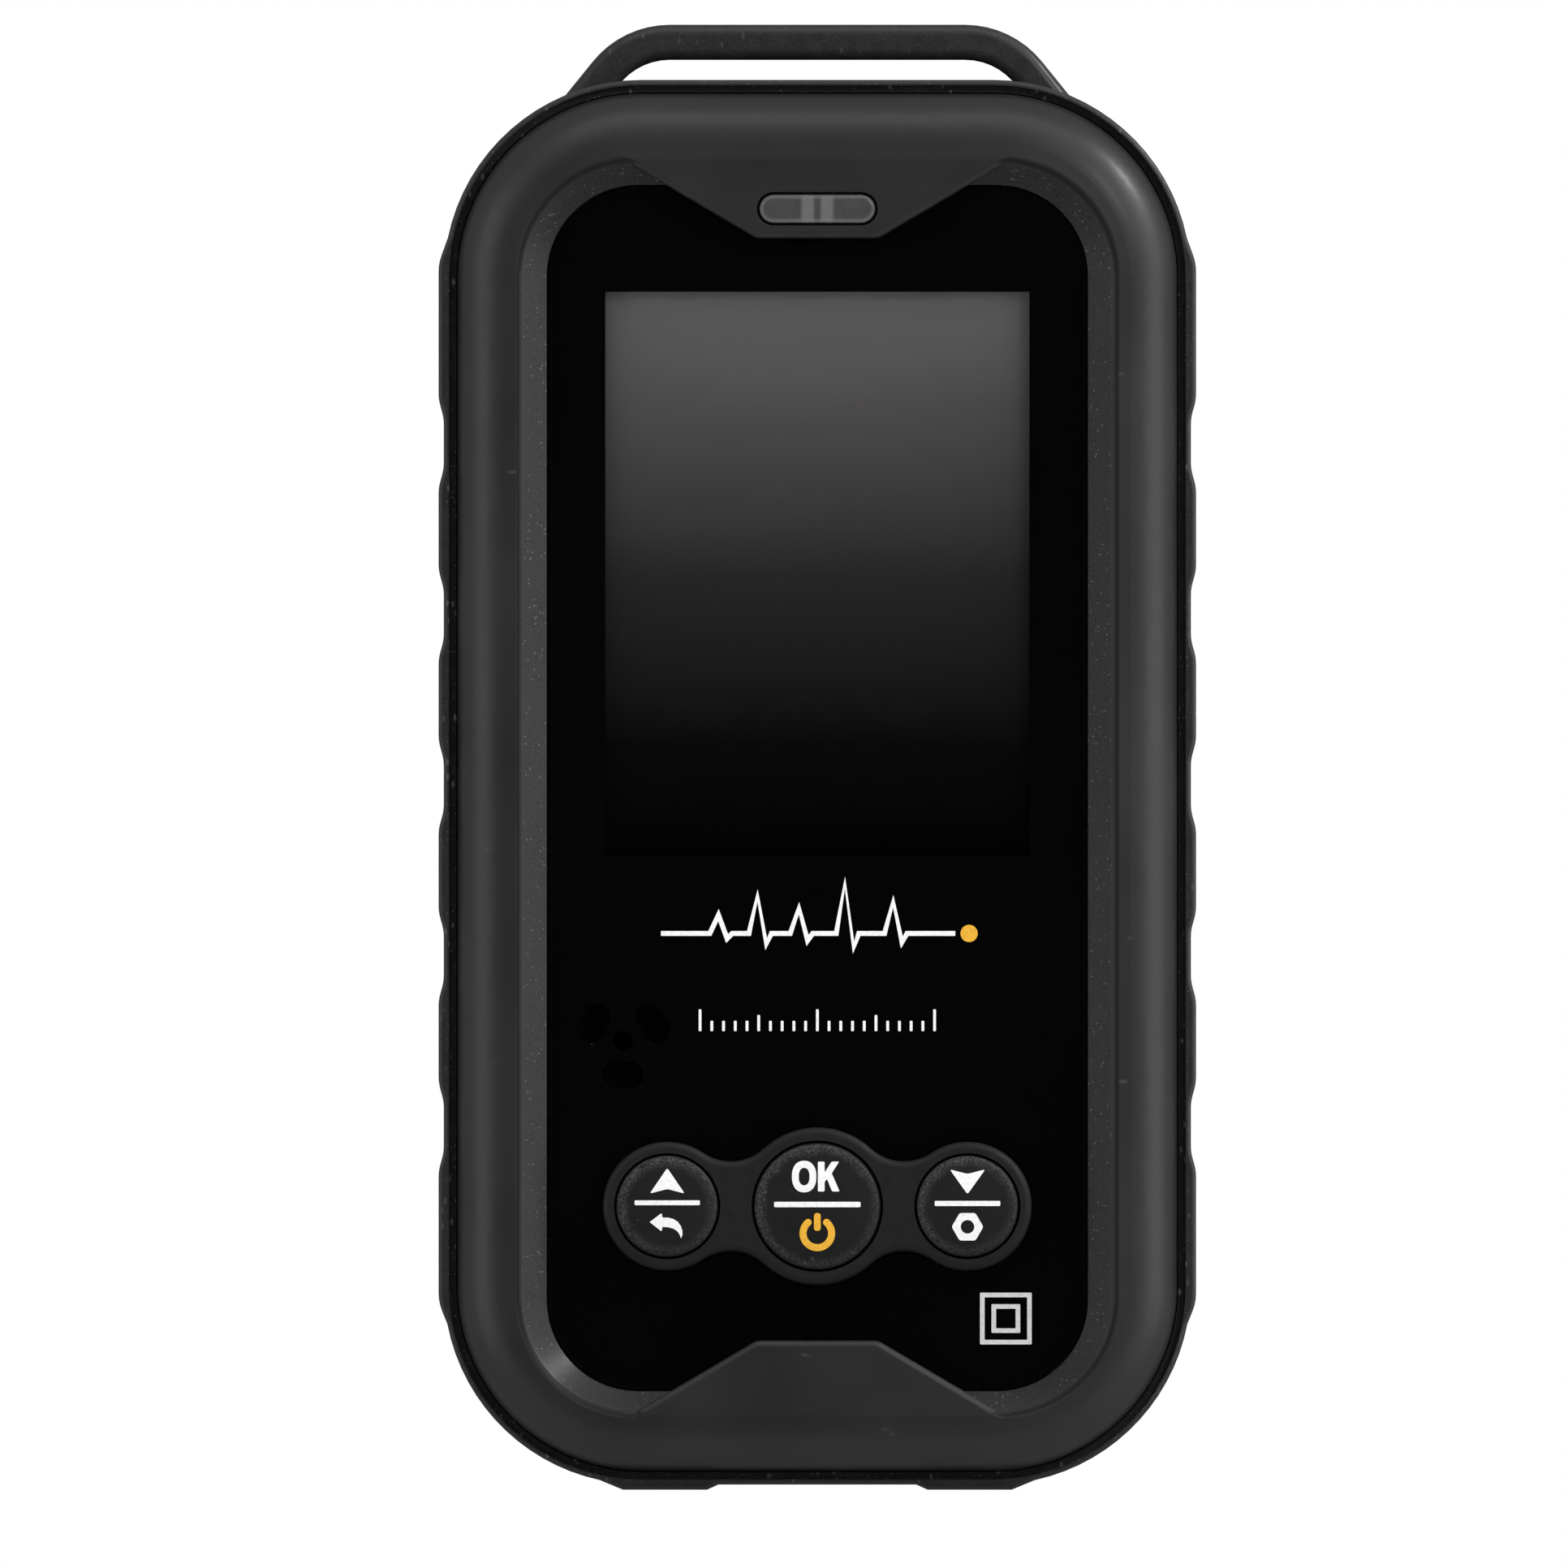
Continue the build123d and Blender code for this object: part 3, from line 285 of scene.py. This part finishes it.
def key_look(name, centre, radius):
    """Matt silicone with a paler rim round the dome: dust specks together with a painted highlight,
    stronger towards the upper left.
    """
    look = Look("key_" + name, (0.009, 0.009, 0.0092), 0.6, Specular_IOR_Level=0.23)
    x, _, z = look.parts(look.place)
    out = look.math(
        "SQRT",
        look.math(
            "ADD",
            look.math("POWER", look.math("SUBTRACT", x, centre[0] / MM), 2.0),
            look.math("POWER", look.math("SUBTRACT", z, centre[2] / MM), 2.0),
        ),
    )
    ragged = look.math("ADD", out, look.math("MULTIPLY", look.noise(1.3, 4.0), 0.9))
    # The pale rim is dust specks with a painted highlight, made stronger towards the upper left.
    rim = look.range(ragged, radius - 0.75, radius + 0.05)
    slant = (centre[2] - centre[0]) / MM
    upper_left_highlight = look.range(look.math("SUBTRACT", z, x), slant - 5, slant + 6, 0.45, 1.0)
    grains = look.range(look.noise(0.16, 3.0), 0.35, 0.7)
    dust_and_highlight = look.math("MULTIPLY", look.math("MULTIPLY", rim, upper_left_highlight), grains)
    tone = look.blend(look.noise(3.0, 3.0), (0.005, 0.005, 0.0052), (0.0095, 0.0095, 0.0097))
    tone = look.blend(look.math("MULTIPLY", dust_and_highlight, 0.55), tone, (0.105, 0.105, 0.105))
    lint = look.math("MULTIPLY", look.specks(0.9, 0.33), 0.3)
    look.colour(look.blend(lint, tone, (0.12, 0.12, 0.12)))
    look.roughness(look.range(look.noise(0.8, 3.0), 0.3, 0.7, 0.55, 0.72))
    look.bump(look.noise(0.13, 3.0), 0.035, 0.6)
    return look.material


def bezel_look():
    """Fine matt black moulding."""
    look = Look("key_plastic", (0.009, 0.009, 0.0092), 0.56, Specular_IOR_Level=0.25)
    look.colour(look.blend(look.noise(5.0, 3.0), (0.0075, 0.0075, 0.0077), (0.0105, 0.0105, 0.0107)))
    look.roughness(look.range(look.noise(0.9, 3.0), 0.3, 0.7, 0.5, 0.62))
    look.bump(look.noise(0.12, 2.0), 0.02, 0.5)
    return look.material


def window_look():
    """Hard-coated acrylic: clear over the display, black where it is printed behind."""
    look = Look("window_glass", (0.0022, 0.0022, 0.0022), 0.04, Specular_IOR_Level=0.5)
    x, _, z = look.parts(look.place)
    middle, half_height = (SCREEN_LOW + SCREEN_HIGH) / 2, (SCREEN_HIGH - SCREEN_LOW) / 2
    beside = look.math("SUBTRACT", look.math("ABSOLUTE", x), SCREEN_HALF)
    from_middle = look.math("ABSOLUTE", look.math("SUBTRACT", z, middle))
    above = look.math("SUBTRACT", from_middle, half_height)
    outside = look.math("MAXIMUM", beside, above)
    look.feed(look.shader.inputs["Alpha"], look.range(outside, -0.02, 0.02, CLEAR_ALPHA, 1.0))
    look.colour(look.blend(look.noise(20.0, 2.0), (0.0010, 0.0010, 0.0010), (0.0018, 0.0018, 0.0018)))
    look.roughness(look.range(look.noise(9.0, 4.0), 0.45, 0.8, 0.03, 0.05))
    return look.material


def ink_look():
    """Flat black print on the back of the window."""
    look = Look("window_ink", (0.004, 0.004, 0.004), 0.6, Specular_IOR_Level=0.0)
    look.colour(look.blend(look.noise(20.0, 2.0), (0.0030, 0.0030, 0.0030), (0.0052, 0.0052, 0.0052)))
    look.roughness(look.range(look.noise(6.0, 3.0), 0.3, 0.8, 0.5, 0.7))
    return look.material


def display_look():
    """An unlit liquid-crystal display, with a painted reflection that grows paler towards the top."""
    look = Look("display_glass", (0.05, 0.05, 0.05), 0.1, Specular_IOR_Level=0.35)
    _, _, z = look.parts(look.place)
    waver = look.math("MULTIPLY", look.noise(9.0, 3.0, (0.25, 1, 1)), 2.0)
    height = look.range(look.math("ADD", z, waver), SCREEN_LOW + 1, SCREEN_HIGH + 1, smooth=False)
    # Painted reflection: the display's colour grows paler towards the top.
    ramp = look.node("ShaderNodeValToRGB")
    look.feed(ramp.inputs[0], height)
    stops = ramp.color_ramp.elements
    for position, level in DISPLAY_REFLECTION_TONES:
        stop = stops[-1] if position == 1.0 else stops[0] if position == 0.0 else stops.new(position)
        stop.color = (*(level * tint for tint in DISPLAY_TINT), 1.0)
    look.colour(ramp.outputs[0])
    look.roughness(look.range(look.noise(12.0, 2.0), 0.3, 0.8, 0.07, 0.11))
    return look.material


def lens_look():
    """Smoked translucent plastic: two light-guide legs show through as paler bands, and a painted
    highlight runs round its edge.
    """
    look = Look("lens_plastic", (0.07, 0.07, 0.07), 0.28, Specular_IOR_Level=0.5)
    x, _, _ = look.parts(look.place)
    away = look.math("ABSOLUTE", x)
    legs = look.math(
        "MULTIPLY", look.range(away, 0.15, 0.45), look.range(away, 1.15, 1.6, 1.0, 0.0)
    )
    low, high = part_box("indicator_lens")
    middle = (low.z + high.z) / 2 / MM
    edge = look.outline_distance(
        LENS_HALF, middle - LENS_HALF_HEIGHT, middle + LENS_HALF_HEIGHT, LENS_RADIUS
    )
    # A paler band just inside the outline: painted highlight.
    rim = look.range(edge, -0.5, -0.12)
    body = look.blend(look.noise(1.4, 3.0), (0.043, 0.043, 0.0434), (0.060, 0.060, 0.0605))
    body = look.blend(look.math("MULTIPLY", legs, 0.8), body, (0.135, 0.135, 0.137))
    look.colour(look.blend(look.math("MULTIPLY", rim, 0.55), body, (0.19, 0.19, 0.192)))
    look.roughness(look.range(look.noise(0.5, 3.0), 0.3, 0.7, 0.2, 0.34))
    look.bump(look.noise(0.5, 3.0), 0.02, 0.4)
    return look.material


def print_look(name, colour):
    """Screen-printed ink with slightly uneven cover."""
    pale = tuple(0.86 * c for c in colour)
    look = Look(name, colour, 0.45, Specular_IOR_Level=0.4)
    look.colour(look.blend(look.range(look.noise(0.25, 3.0), 0.3, 0.6), pale, colour))
    look.bump(look.noise(0.1, 2.0), 0.01, 0.5)
    return look.material


def plain_look(name, colour, roughness, size=1.5, metallic=0.0, depth=0.01, stretch=(1, 1, 1)):
    """A moulded, foamed or plated finish: small changes of tone and gloss over a fine bump."""
    look = Look(name, colour, roughness, Metallic=metallic)
    dark = tuple(0.78 * c for c in colour)
    cloud = look.noise(size, 4.0, stretch)
    look.colour(look.blend(look.range(cloud, 0.3, 0.7), dark, colour))
    look.roughness(look.range(cloud, 0.3, 0.7, roughness * 0.82, min(1.0, roughness * 1.2)))
    look.bump(look.noise(size * 0.2, 3.0, stretch), depth, 0.6)
    return look.material


def board_look():
    """Green solder mask over copper tracks, with bare pads."""
    look = Look("board_green", (0.02, 0.13, 0.06), 0.35)
    tracks = look.cells(2.4, feature="DISTANCE_TO_EDGE")
    copper = look.range(tracks, 0.03, 0.06, 1.0, 0.0)
    mask = look.blend(copper, (0.010, 0.085, 0.040), (0.020, 0.150, 0.065))
    pads = look.range(look.cells(1.9), 0.10, 0.13, 1.0, 0.0)
    look.colour(look.blend(pads, mask, (0.55, 0.50, 0.36)))
    look.roughness(look.range(look.noise(2.0, 3.0), 0.3, 0.7, 0.26, 0.42))
    look.bump(copper, 0.03, 0.7)
    return look.material


def mesh_cloth_look():
    """A fine woven acoustic mesh."""
    look = Look("mesh_cloth", (0.002, 0.002, 0.002), 0.8, Specular_IOR_Level=0.1)
    x, _, z = look.parts(look.place)
    over = look.math("SINE", look.math("MULTIPLY", x, 21.0))
    under = look.math("SINE", look.math("MULTIPLY", z, 21.0))
    weave = look.range(look.math("MULTIPLY", over, under), -0.4, 0.4)
    look.colour(look.blend(weave, (0.0005, 0.0005, 0.0005), (0.003, 0.003, 0.003)))
    look.bump(weave, 0.05, 0.8)
    return look.material


def coil_look():
    """Varnished copper wire, wound in close turns, with painted shade in the grooves between the turns."""
    look = Look("winding", (0.55, 0.22, 0.06), 0.3, Metallic=1.0)
    _, depth, _ = look.parts(look.place)
    turns = look.math("ABSOLUTE", look.math("SINE", look.math("MULTIPLY", depth, 12.0)))
    # Darker in the grooves between the turns: painted shade.
    look.colour(look.blend(turns, (0.25, 0.08, 0.02), (0.62, 0.27, 0.08)))
    look.bump(turns, 0.12, 0.9)
    return look.material


def dress_frame():
    """Every CAD node's material."""
    dress(cover_look(), "front_cover", "rear_cover")
    dress(band_look(), "grip_band")
    dress(window_look(), "window_glass")
    dress(ink_look(), "window_ink")
    dress(display_look(), "lcd_glass")
    dress(lens_look(), "indicator_lens")
    dress(bezel_look(), "key_bezel")
    dress(board_look(), "main_board", "battery_board")
    dress(mesh_cloth_look(), "sound_mesh")
    dress(coil_look(), "transformer_coil")
    for name, low, high in keys():
        dress(key_look(name, (low + high) / 2, key_radius(name)), "button_" + name)
        dress(plain_look("plunger_" + name, (0.03, 0.03, 0.03), 0.5), "switch_plunger_" + name)
    foam = plain_look("gasket_rubber", (0.045, 0.045, 0.048), 0.8, 0.6, depth=0.05)
    dress(foam, "case_gasket", "sound_gasket", "lcd_gasket", "lcd_pad", "tube_cushions")
    dress(plain_look("adhesive", (0.02, 0.02, 0.02), 0.85, 0.8, depth=0.04), "window_tape", "battery_pad")
    dress(plain_look("screw_steel", (0.13, 0.13, 0.14), 0.38, 0.7, metallic=1.0), "case_screws")
    steel = plain_look("steel_bright", (0.55, 0.55, 0.56), 0.3, 0.9, metallic=1.0)
    dress(steel, "board_screws", "switch_bodies")
    nickel = plain_look("nickel", (0.62, 0.60, 0.56), 0.24, 1.2, metallic=1.0)
    dress(nickel, "usb_shell", "tube_caps", "tube_sleeves")
    dress(plain_look("label_film", (0.06, 0.06, 0.063), 0.42, 2.5, depth=0.01), "rear_label")
    dress(plain_look("filter_film", (0.012, 0.012, 0.013), 0.45, 1.5), "sensor_film")
    dress(plain_look("buzzer_plastic", (0.02, 0.02, 0.02), 0.5, 1.0), "buzzer", "lcd_holder")
    dress(plain_look("white_plastic", (0.70, 0.70, 0.68), 0.4, 3.0), "lcd_backlight")
    dress(plain_look("ribbon_film", (0.50, 0.22, 0.04), 0.3, 1.0, stretch=(4, 1, 1)), "lcd_flex")
    dress(
        plain_look("connector_plastic", (0.60, 0.55, 0.43), 0.5, 1.0),
        "lcd_connector",
        "battery_header",
        "battery_plug",
    )
    epoxy = plain_look("chip_plastic", (0.022, 0.022, 0.024), 0.55, 0.8)
    dress(epoxy, "usb_tongue", "processor_chip", "small_chips")
    dress(plain_look("led_plastic", (0.75, 0.70, 0.45), 0.25, 0.6), "indicator_leds")
    dress(plain_look("ferrite", (0.045, 0.043, 0.042), 0.7, 0.7, depth=0.04), "transformer_core")
    dress(plain_look("capacitor_film", (0.02, 0.05, 0.24), 0.3, 1.0), "hv_capacitors")
    dress(plain_look("tube_glass", (0.20, 0.19, 0.17), 0.12, 2.0), "tube_glass")
    dress(plain_look("anode_wire", (0.45, 0.45, 0.46), 0.3, 0.5, metallic=1.0), "tube_anode_wire")
    dress(plain_look("clip_bronze", (0.55, 0.36, 0.13), 0.28, 1.0, metallic=1.0), "tube_clips")
    dress(plain_look("cell_foil", (0.50, 0.50, 0.52), 0.34, 3.0, metallic=1.0, depth=0.05), "battery_cell")
    dress(plain_look("lead_red", (0.45, 0.015, 0.012), 0.4, 0.8), "battery_lead_positive")
    dress(plain_look("lead_black", (0.015, 0.015, 0.015), 0.4, 0.8), "battery_lead_negative")


# ---------------------------------------------------------------- flat outlines, in millimetres
def arc(x, z, radius, start, end):
    """Points on an arc; start and end in degrees, anticlockwise if end is larger."""
    start, end = math.radians(start), math.radians(end)
    count = max(2, math.ceil(abs(end - start) / ARC_STEP))
    turns = [start + (end - start) * n / count for n in range(count + 1)]
    return [(x + radius * math.cos(t), z + radius * math.sin(t)) for t in turns]


def circle(x, z, radius):
    return arc(x, z, radius, 0, 360)[:-1]


def oval(x, z, half_x, half_z, square=2.0):
    """A closed oval; square above 2 fills out its corners."""
    points = []
    for n in range(48):
        t = 2 * math.pi * n / 48
        c, s = math.cos(t), math.sin(t)
        points.append(
            (
                x + half_x * math.copysign(abs(c) ** (2 / square), c),
                z + half_z * math.copysign(abs(s) ** (2 / square), s),
            )
        )
    return points


def rounded(points, radius):
    """A polygon with every corner rounded by up to the given radius."""
    result = []
    for n, corner in enumerate(points):
        here = Vector(corner)
        back, ahead = Vector(points[n - 1]) - here, Vector(points[(n + 1) % len(points)]) - here
        reach = min(radius, 0.45 * back.length, 0.45 * ahead.length)
        first, last = here + back.normalized() * reach, here + ahead.normalized() * reach
        for k in range(6):
            t = k / 5
            result.append(tuple((1 - t) ** 2 * first + 2 * t * (1 - t) * here + t**2 * last))
    return result


def bar(x, z, width, height, radius):
    """A rounded rectangle centred on (x, z)."""
    w, h = width / 2, height / 2
    return rounded([(x - w, z - h), (x + w, z - h), (x + w, z + h), (x - w, z + h)], radius)


def stroke(points, width):
    """A line of the given width along open points, with square ends."""
    half, left, right = width / 2, [], []
    for n, point in enumerate(points):
        here = Vector(point)
        before = Vector(points[max(n - 1, 0)])
        after = Vector(points[min(n + 1, len(points) - 1)])
        first = (here - before).normalized() if n else (after - here).normalized()
        second = (after - here).normalized() if n < len(points) - 1 else first
        normal = Vector((-(first.y + second.y), first.x + second.x)).normalized()
        stretch = min(2.5, 1 / max(0.2, normal.dot(Vector((-first.y, first.x)))))
        left.append(tuple(here + normal * half * stretch))
        right.append(tuple(here - normal * half * stretch))
    return left + right[::-1]


# ---------------------------------------------------------------- printed marks
def printed(name, loops, centre, target, material, body, slot):
    """Ink printed on a CAD node's front: outlines filled, laid on the surface and given a thickness."""
    bm = bmesh.new()
    for loop in loops:
        ring = [bm.verts.new((centre[0] + x * MM, 0, centre[1] + z * MM)) for x, z in loop]
        for n, vert in enumerate(ring):
            bm.edges.new((vert, ring[(n + 1) % len(ring)]))
    bmesh.ops.triangle_fill(bm, edges=bm.edges[:], use_beauty=True, use_dissolve=False)
    cut_by_grid(bm)
    lay_on(bm, target)
    for face in bm.faces:
        if face.normal.y > 0:
            face.normal_flip()
    skin = bmesh.ops.extrude_face_region(bm, geom=bm.faces[:])
    risen = [g for g in skin["geom"] if isinstance(g, bmesh.types.BMVert)]
    bmesh.ops.translate(bm, verts=risen, vec=(0, -PRINT_THICK, 0))
    bmesh.ops.recalc_face_normals(bm, faces=bm.faces[:])
    mesh = bpy.data.meshes.new(name)
    bm.to_mesh(mesh)
    bm.free()
    piece = bpy.data.objects.new(name, mesh)
    bpy.context.scene.collection.objects.link(piece)
    mesh.materials.append(material)
    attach(piece, body)
    return piece


def cut_by_grid(bm):
    """Cuts the faces along a square grid, so that they can follow a curved surface."""
    for axis in (0, 2):
        values = [v.co[axis] for v in bm.verts]
        line = math.floor(min(values) / PRINT_GRID) * PRINT_GRID
        while line < max(values):
            line += PRINT_GRID
            place, normal = Vector((0, 0, 0)), Vector((0, 0, 0))
            place[axis], normal[axis] = line, 1
            geometry = bm.verts[:] + bm.edges[:] + bm.faces[:]
            bmesh.ops.bisect_plane(bm, geom=geometry, dist=1e-7, plane_co=place, plane_no=normal)


def lay_on(bm, target):
    """Moves each point along Y onto the front of a CAD node."""
    tree = BVHTree.FromObject(nodes[target], bpy.context.evaluated_depsgraph_get())
    for vert in bm.verts:
        hit = tree.ray_cast(Vector((vert.co.x, -0.1, vert.co.z)), Vector((0, 1, 0)))[0]
        if hit is not None:
            vert.co.y = hit.y - 0.004 * MM


def keys():
    """Name and box of each key."""
    for name in ("up", "ok", "down"):
        low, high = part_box("button_" + name)
        yield name, low, high


def key_radius(name):
    """The cap's radius in millimetres, from its flange's."""
    low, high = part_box("button_" + name)
    return (high.x - low.x) / 2 / MM - KEY_FLANGE


def up_legend():
    """An arrowhead, a rule and an arrow that turns back."""
    head = rounded([(0, 3.33), (1.52, 1.10), (0, 1.50), (-1.52, 1.10)], 0.22)
    tail = [(-0.42, -0.98), (0.12, -1.00), (0.55, -1.12), (0.90, -1.34), (1.18, -1.72), (1.32, -2.16)]
    tail += [(1.32, -2.50), (1.19, -2.80), (1.10, -2.50), (0.88, -2.18), (0.52, -1.94), (0.05, -1.82)]
    tail += [(-0.42, -1.80)]
    back = [(-1.53, -1.38), (-0.56, -0.64), (-0.46, -0.66), *tail, (-0.46, -2.12), (-0.56, -2.14)]
    return [head], [bar(0, 0.30, 5.68, 0.42, 0.10)], [back]


def ok_legend():
    """The word OK over a rule; the power sign is printed in a second colour."""
    letter_o = [oval(-1.15, 2.58, 1.06, 1.37, 2.3), oval(-1.15, 2.58, 0.47, 0.76, 2.3)]
    k = [(0.05, 1.28), (0.63, 1.28), (0.63, 2.12), (0.84, 2.38), (1.28, 1.28), (1.94, 1.28)]
    k += [(1.25, 2.87), (1.90, 3.88), (1.24, 3.88), (0.63, 2.93), (0.63, 3.88), (0.05, 3.88)]
    return [*letter_o, rounded(k, 0.12)], [bar(0, 0.15, 7.52, 0.47, 0.12)]


def power_symbol():
    """An open ring with round ends and a bar in its gap."""
    x, z, outer, inner, gap = 0.0, -2.36, 1.55, 0.94, 40
    middle, half = (outer + inner) / 2, (outer - inner) / 2
    start, end = 90 + gap, 450 - gap
    ends = []
    for turn, first in ((end, end), (start, start + 180)):
        cx = x + middle * math.cos(math.radians(turn))
        cz = z + middle * math.sin(math.radians(turn))
        ends.append(arc(cx, cz, half, first, first + 180)[1:-1])
    ring = arc(x, z, outer, start, end) + ends[0] + arc(x, z, inner, end, start) + ends[1]
    return [ring, bar(0, -1.37, 0.585, 1.54, 0.28)]


def down_legend():
    """An arrowhead, a rule and a hexagon with a hole."""
    head = rounded([(0, 1.04), (1.54, 3.20), (0, 2.81), (-1.54, 3.20)], 0.22)
    nut_z, nut_r, hole_r = -1.79, 1.38, 0.59
    turns = [math.radians(60 * n) for n in range(6)]
    corners = [(nut_r * math.cos(t), nut_r * math.sin(t) + nut_z) for t in turns]
    return [head], [bar(0, 0.24, 5.70, 0.44, 0.10)], [rounded(corners, 0.2), circle(0, nut_z, hole_r)]


def print_keys(white, amber):
    legends = {"up": up_legend(), "ok": ok_legend(), "down": down_legend()}
    shapes = ("sign", "rule", "mark")
    for name, low, high in keys():
        centre = ((low.x + high.x) / 2, (low.z + high.z) / 2)
        place = ("button_" + name, white, "key_" + name, "white_plastic")
        for shape, loops in zip(shapes, legends[name]):
            printed(f"print_{name}_{shape}", loops, centre, *place)
    low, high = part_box("button_ok")
    centre = ((low.x + high.x) / 2, (low.z + high.z) / 2)
    for n, loop in enumerate(power_symbol()):
        printed(f"print_power_{n}", [loop], centre, "button_ok", amber, "key_ok", "ribbon_film")


def pulse_trace():
    """A plain signal trace: a level line with a few pulses on it."""
    line = [(TRACE_START, 0)]
    for x, height in PULSES:
        line += [(x - 0.75, 0), (x, height), (x + 0.75, -height * 0.28), (x + 1.2, 0)]
    return stroke(line + [(TRACE_END, 0)], 0.42)


def print_window(white, amber, grey):
    """Generic marks where such a meter has its maker's print."""
    centre = (0.0, TRACE_Z * MM)
    place = ("window_glass", white, "case", "white_plastic")
    printed("print_trace", [pulse_trace()], centre, *place)
    dot = [circle(TRACE_DOT_X, 0, 0.75)]
    printed("print_trace_end", dot, centre, "window_glass", amber, "case", "ribbon_film")
    for n in range(TICK_COUNT):
        tall = 1.9 if n % 10 == 0 else 1.4 if n % 5 == 0 else 0.9
        x = (n - TICK_COUNT // 2) * TICK_PITCH
        tick = [bar(x, tall / 2 - 0.7, TICK_WIDTH, tall, 0.08)]
        printed(f"print_tick_{n}", tick, (0.0, SCALE_Z * MM), *place)
    centre = (SQUARES_X * MM, SQUARES_Z * MM)
    outer = [bar(0, 0, 4.5, 4.5, 0.1), bar(0, 0, 3.7, 3.7, 0.05)]
    inner = [bar(0, 0, 2.5, 2.5, 0.1), bar(0, 0, 1.7, 1.7, 0.05)]
    for n, loops in enumerate((outer, inner)):
        printed(f"print_square_{n}", loops, centre, "window_glass", grey, "case", "white_plastic")


# ---------------------------------------------------------------- studio
def make_floor():
    """A plain pale floor, large enough to reach the horizon, that gloss doesn't mirror."""
    bm = bmesh.new()
    bmesh.ops.create_circle(bm, cap_ends=True, segments=96, radius=9.0)
    mesh = bpy.data.meshes.new("floor")
    bm.to_mesh(mesh)
    bm.free()
    floor = bpy.data.objects.new("floor", mesh)
    bpy.context.scene.collection.objects.link(floor)
    floor.location.z = -0.02 * MM
    floor.visible_glossy = False
    look = Look("floor", (0.8, 0.8, 0.8), 0.95, Specular_IOR_Level=0.0)
    look.colour(look.blend(look.noise(300.0, 2.0), (0.79, 0.79, 0.79), (0.81, 0.81, 0.81)))
    mesh.materials.append(look.material)


def make_world():
    """Pale surroundings: white to the camera, dimmer to the object, dark straight in front of it."""
    world = bpy.data.worlds.new("studio")
    bpy.context.scene.world = world
    world.use_nodes = True
    tree = world.node_tree
    background = tree.nodes["Background"]
    path = tree.nodes.new("ShaderNodeLightPath")
    coordinates = tree.nodes.new("ShaderNodeTexCoord")
    split = tree.nodes.new("ShaderNodeSeparateXYZ")
    tree.links.new(coordinates.outputs["Generated"], split.inputs[0])
    around = tree.nodes.new("ShaderNodeFloatCurve")
    shape_curve(around, GLOSSY_CURVE)
    half = tree.nodes.new("ShaderNodeMapRange")
    tree.links.new(split.outputs["Y"], half.inputs["Value"])
    half.inputs["From Min"].default_value = -1.0
    tree.links.new(half.outputs[0], around.inputs["Value"])
    glossy = mix_values(tree, path.outputs["Is Glossy Ray"], DIFFUSE_LIGHT, around.outputs[0])
    camera = mix_values(tree, path.outputs["Is Camera Ray"], glossy, 1.0)
    tree.links.new(camera, background.inputs["Strength"])
    background.inputs["Color"].default_value = (1.0, 1.0, 1.0, 1.0)


def shape_curve(node, points):
    """Sets a float curve through the given points, the first and last at 0 and 1."""
    curve = node.mapping.curves[0]
    curve.points[0].location, curve.points[-1].location = points[0], points[-1]
    for point in points[1:-1]:
        curve.points.new(*point)
    node.mapping.update()


def mix_values(tree, share, low, high):
    """A number between low and high in a node tree."""
    made = tree.nodes.new("ShaderNodeMix")
    for socket, value in zip(made.inputs[:4], (share, None, low, high)):
        if isinstance(value, bpy.types.NodeSocket):
            tree.links.new(value, socket)
        elif value is not None:
            socket.default_value = value
    return made.outputs[0]


def soft_box(name, place, size, power):
    """A rectangular studio light that looks at the middle of the object."""
    data = bpy.data.lights.new(name, "AREA")
    data.shape = "RECTANGLE"
    data.size, data.size_y = size
    data.energy = power
    light = bpy.data.objects.new(name, data)
    bpy.context.scene.collection.objects.link(light)
    light.location = place
    light.visible_camera = False
    aim = LIGHT_AIM - light.location
    light.rotation_euler = aim.to_track_quat("-Z", "Y").to_euler()


def make_camera():
    """A parallel projection, as of a lens so long that depth doesn't change sizes."""
    data = bpy.data.cameras.new("camera")
    data.type = "ORTHO"
    data.ortho_scale = CAMERA_SPAN
    data.clip_end = 30.0
    camera = bpy.data.objects.new("camera", data)
    bpy.context.scene.collection.objects.link(camera)
    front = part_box("front_cover")[0].y
    camera.location = CAMERA_CENTRE + Vector((0, front - CAMERA_DISTANCE, 0))
    camera.rotation_euler = (math.radians(90), 0, 0)
    bpy.context.scene.camera = camera


def make_studio():
    """Surroundings, floor, lights and camera."""
    bpy.context.scene.view_settings.view_transform = "Standard"
    make_world()
    make_floor()
    for light in SOFT_BOXES:
        soft_box(*light)
    make_camera()


# ---------------------------------------------------------------- assembly
dress_frame()
white = print_look("print_white", (0.86, 0.86, 0.86))
amber = print_look("print_amber", (0.80, 0.42, 0.025))
grey = print_look("print_grey", (0.60, 0.60, 0.60))
print_keys(white, amber)
print_window(white, amber, grey)
make_studio()
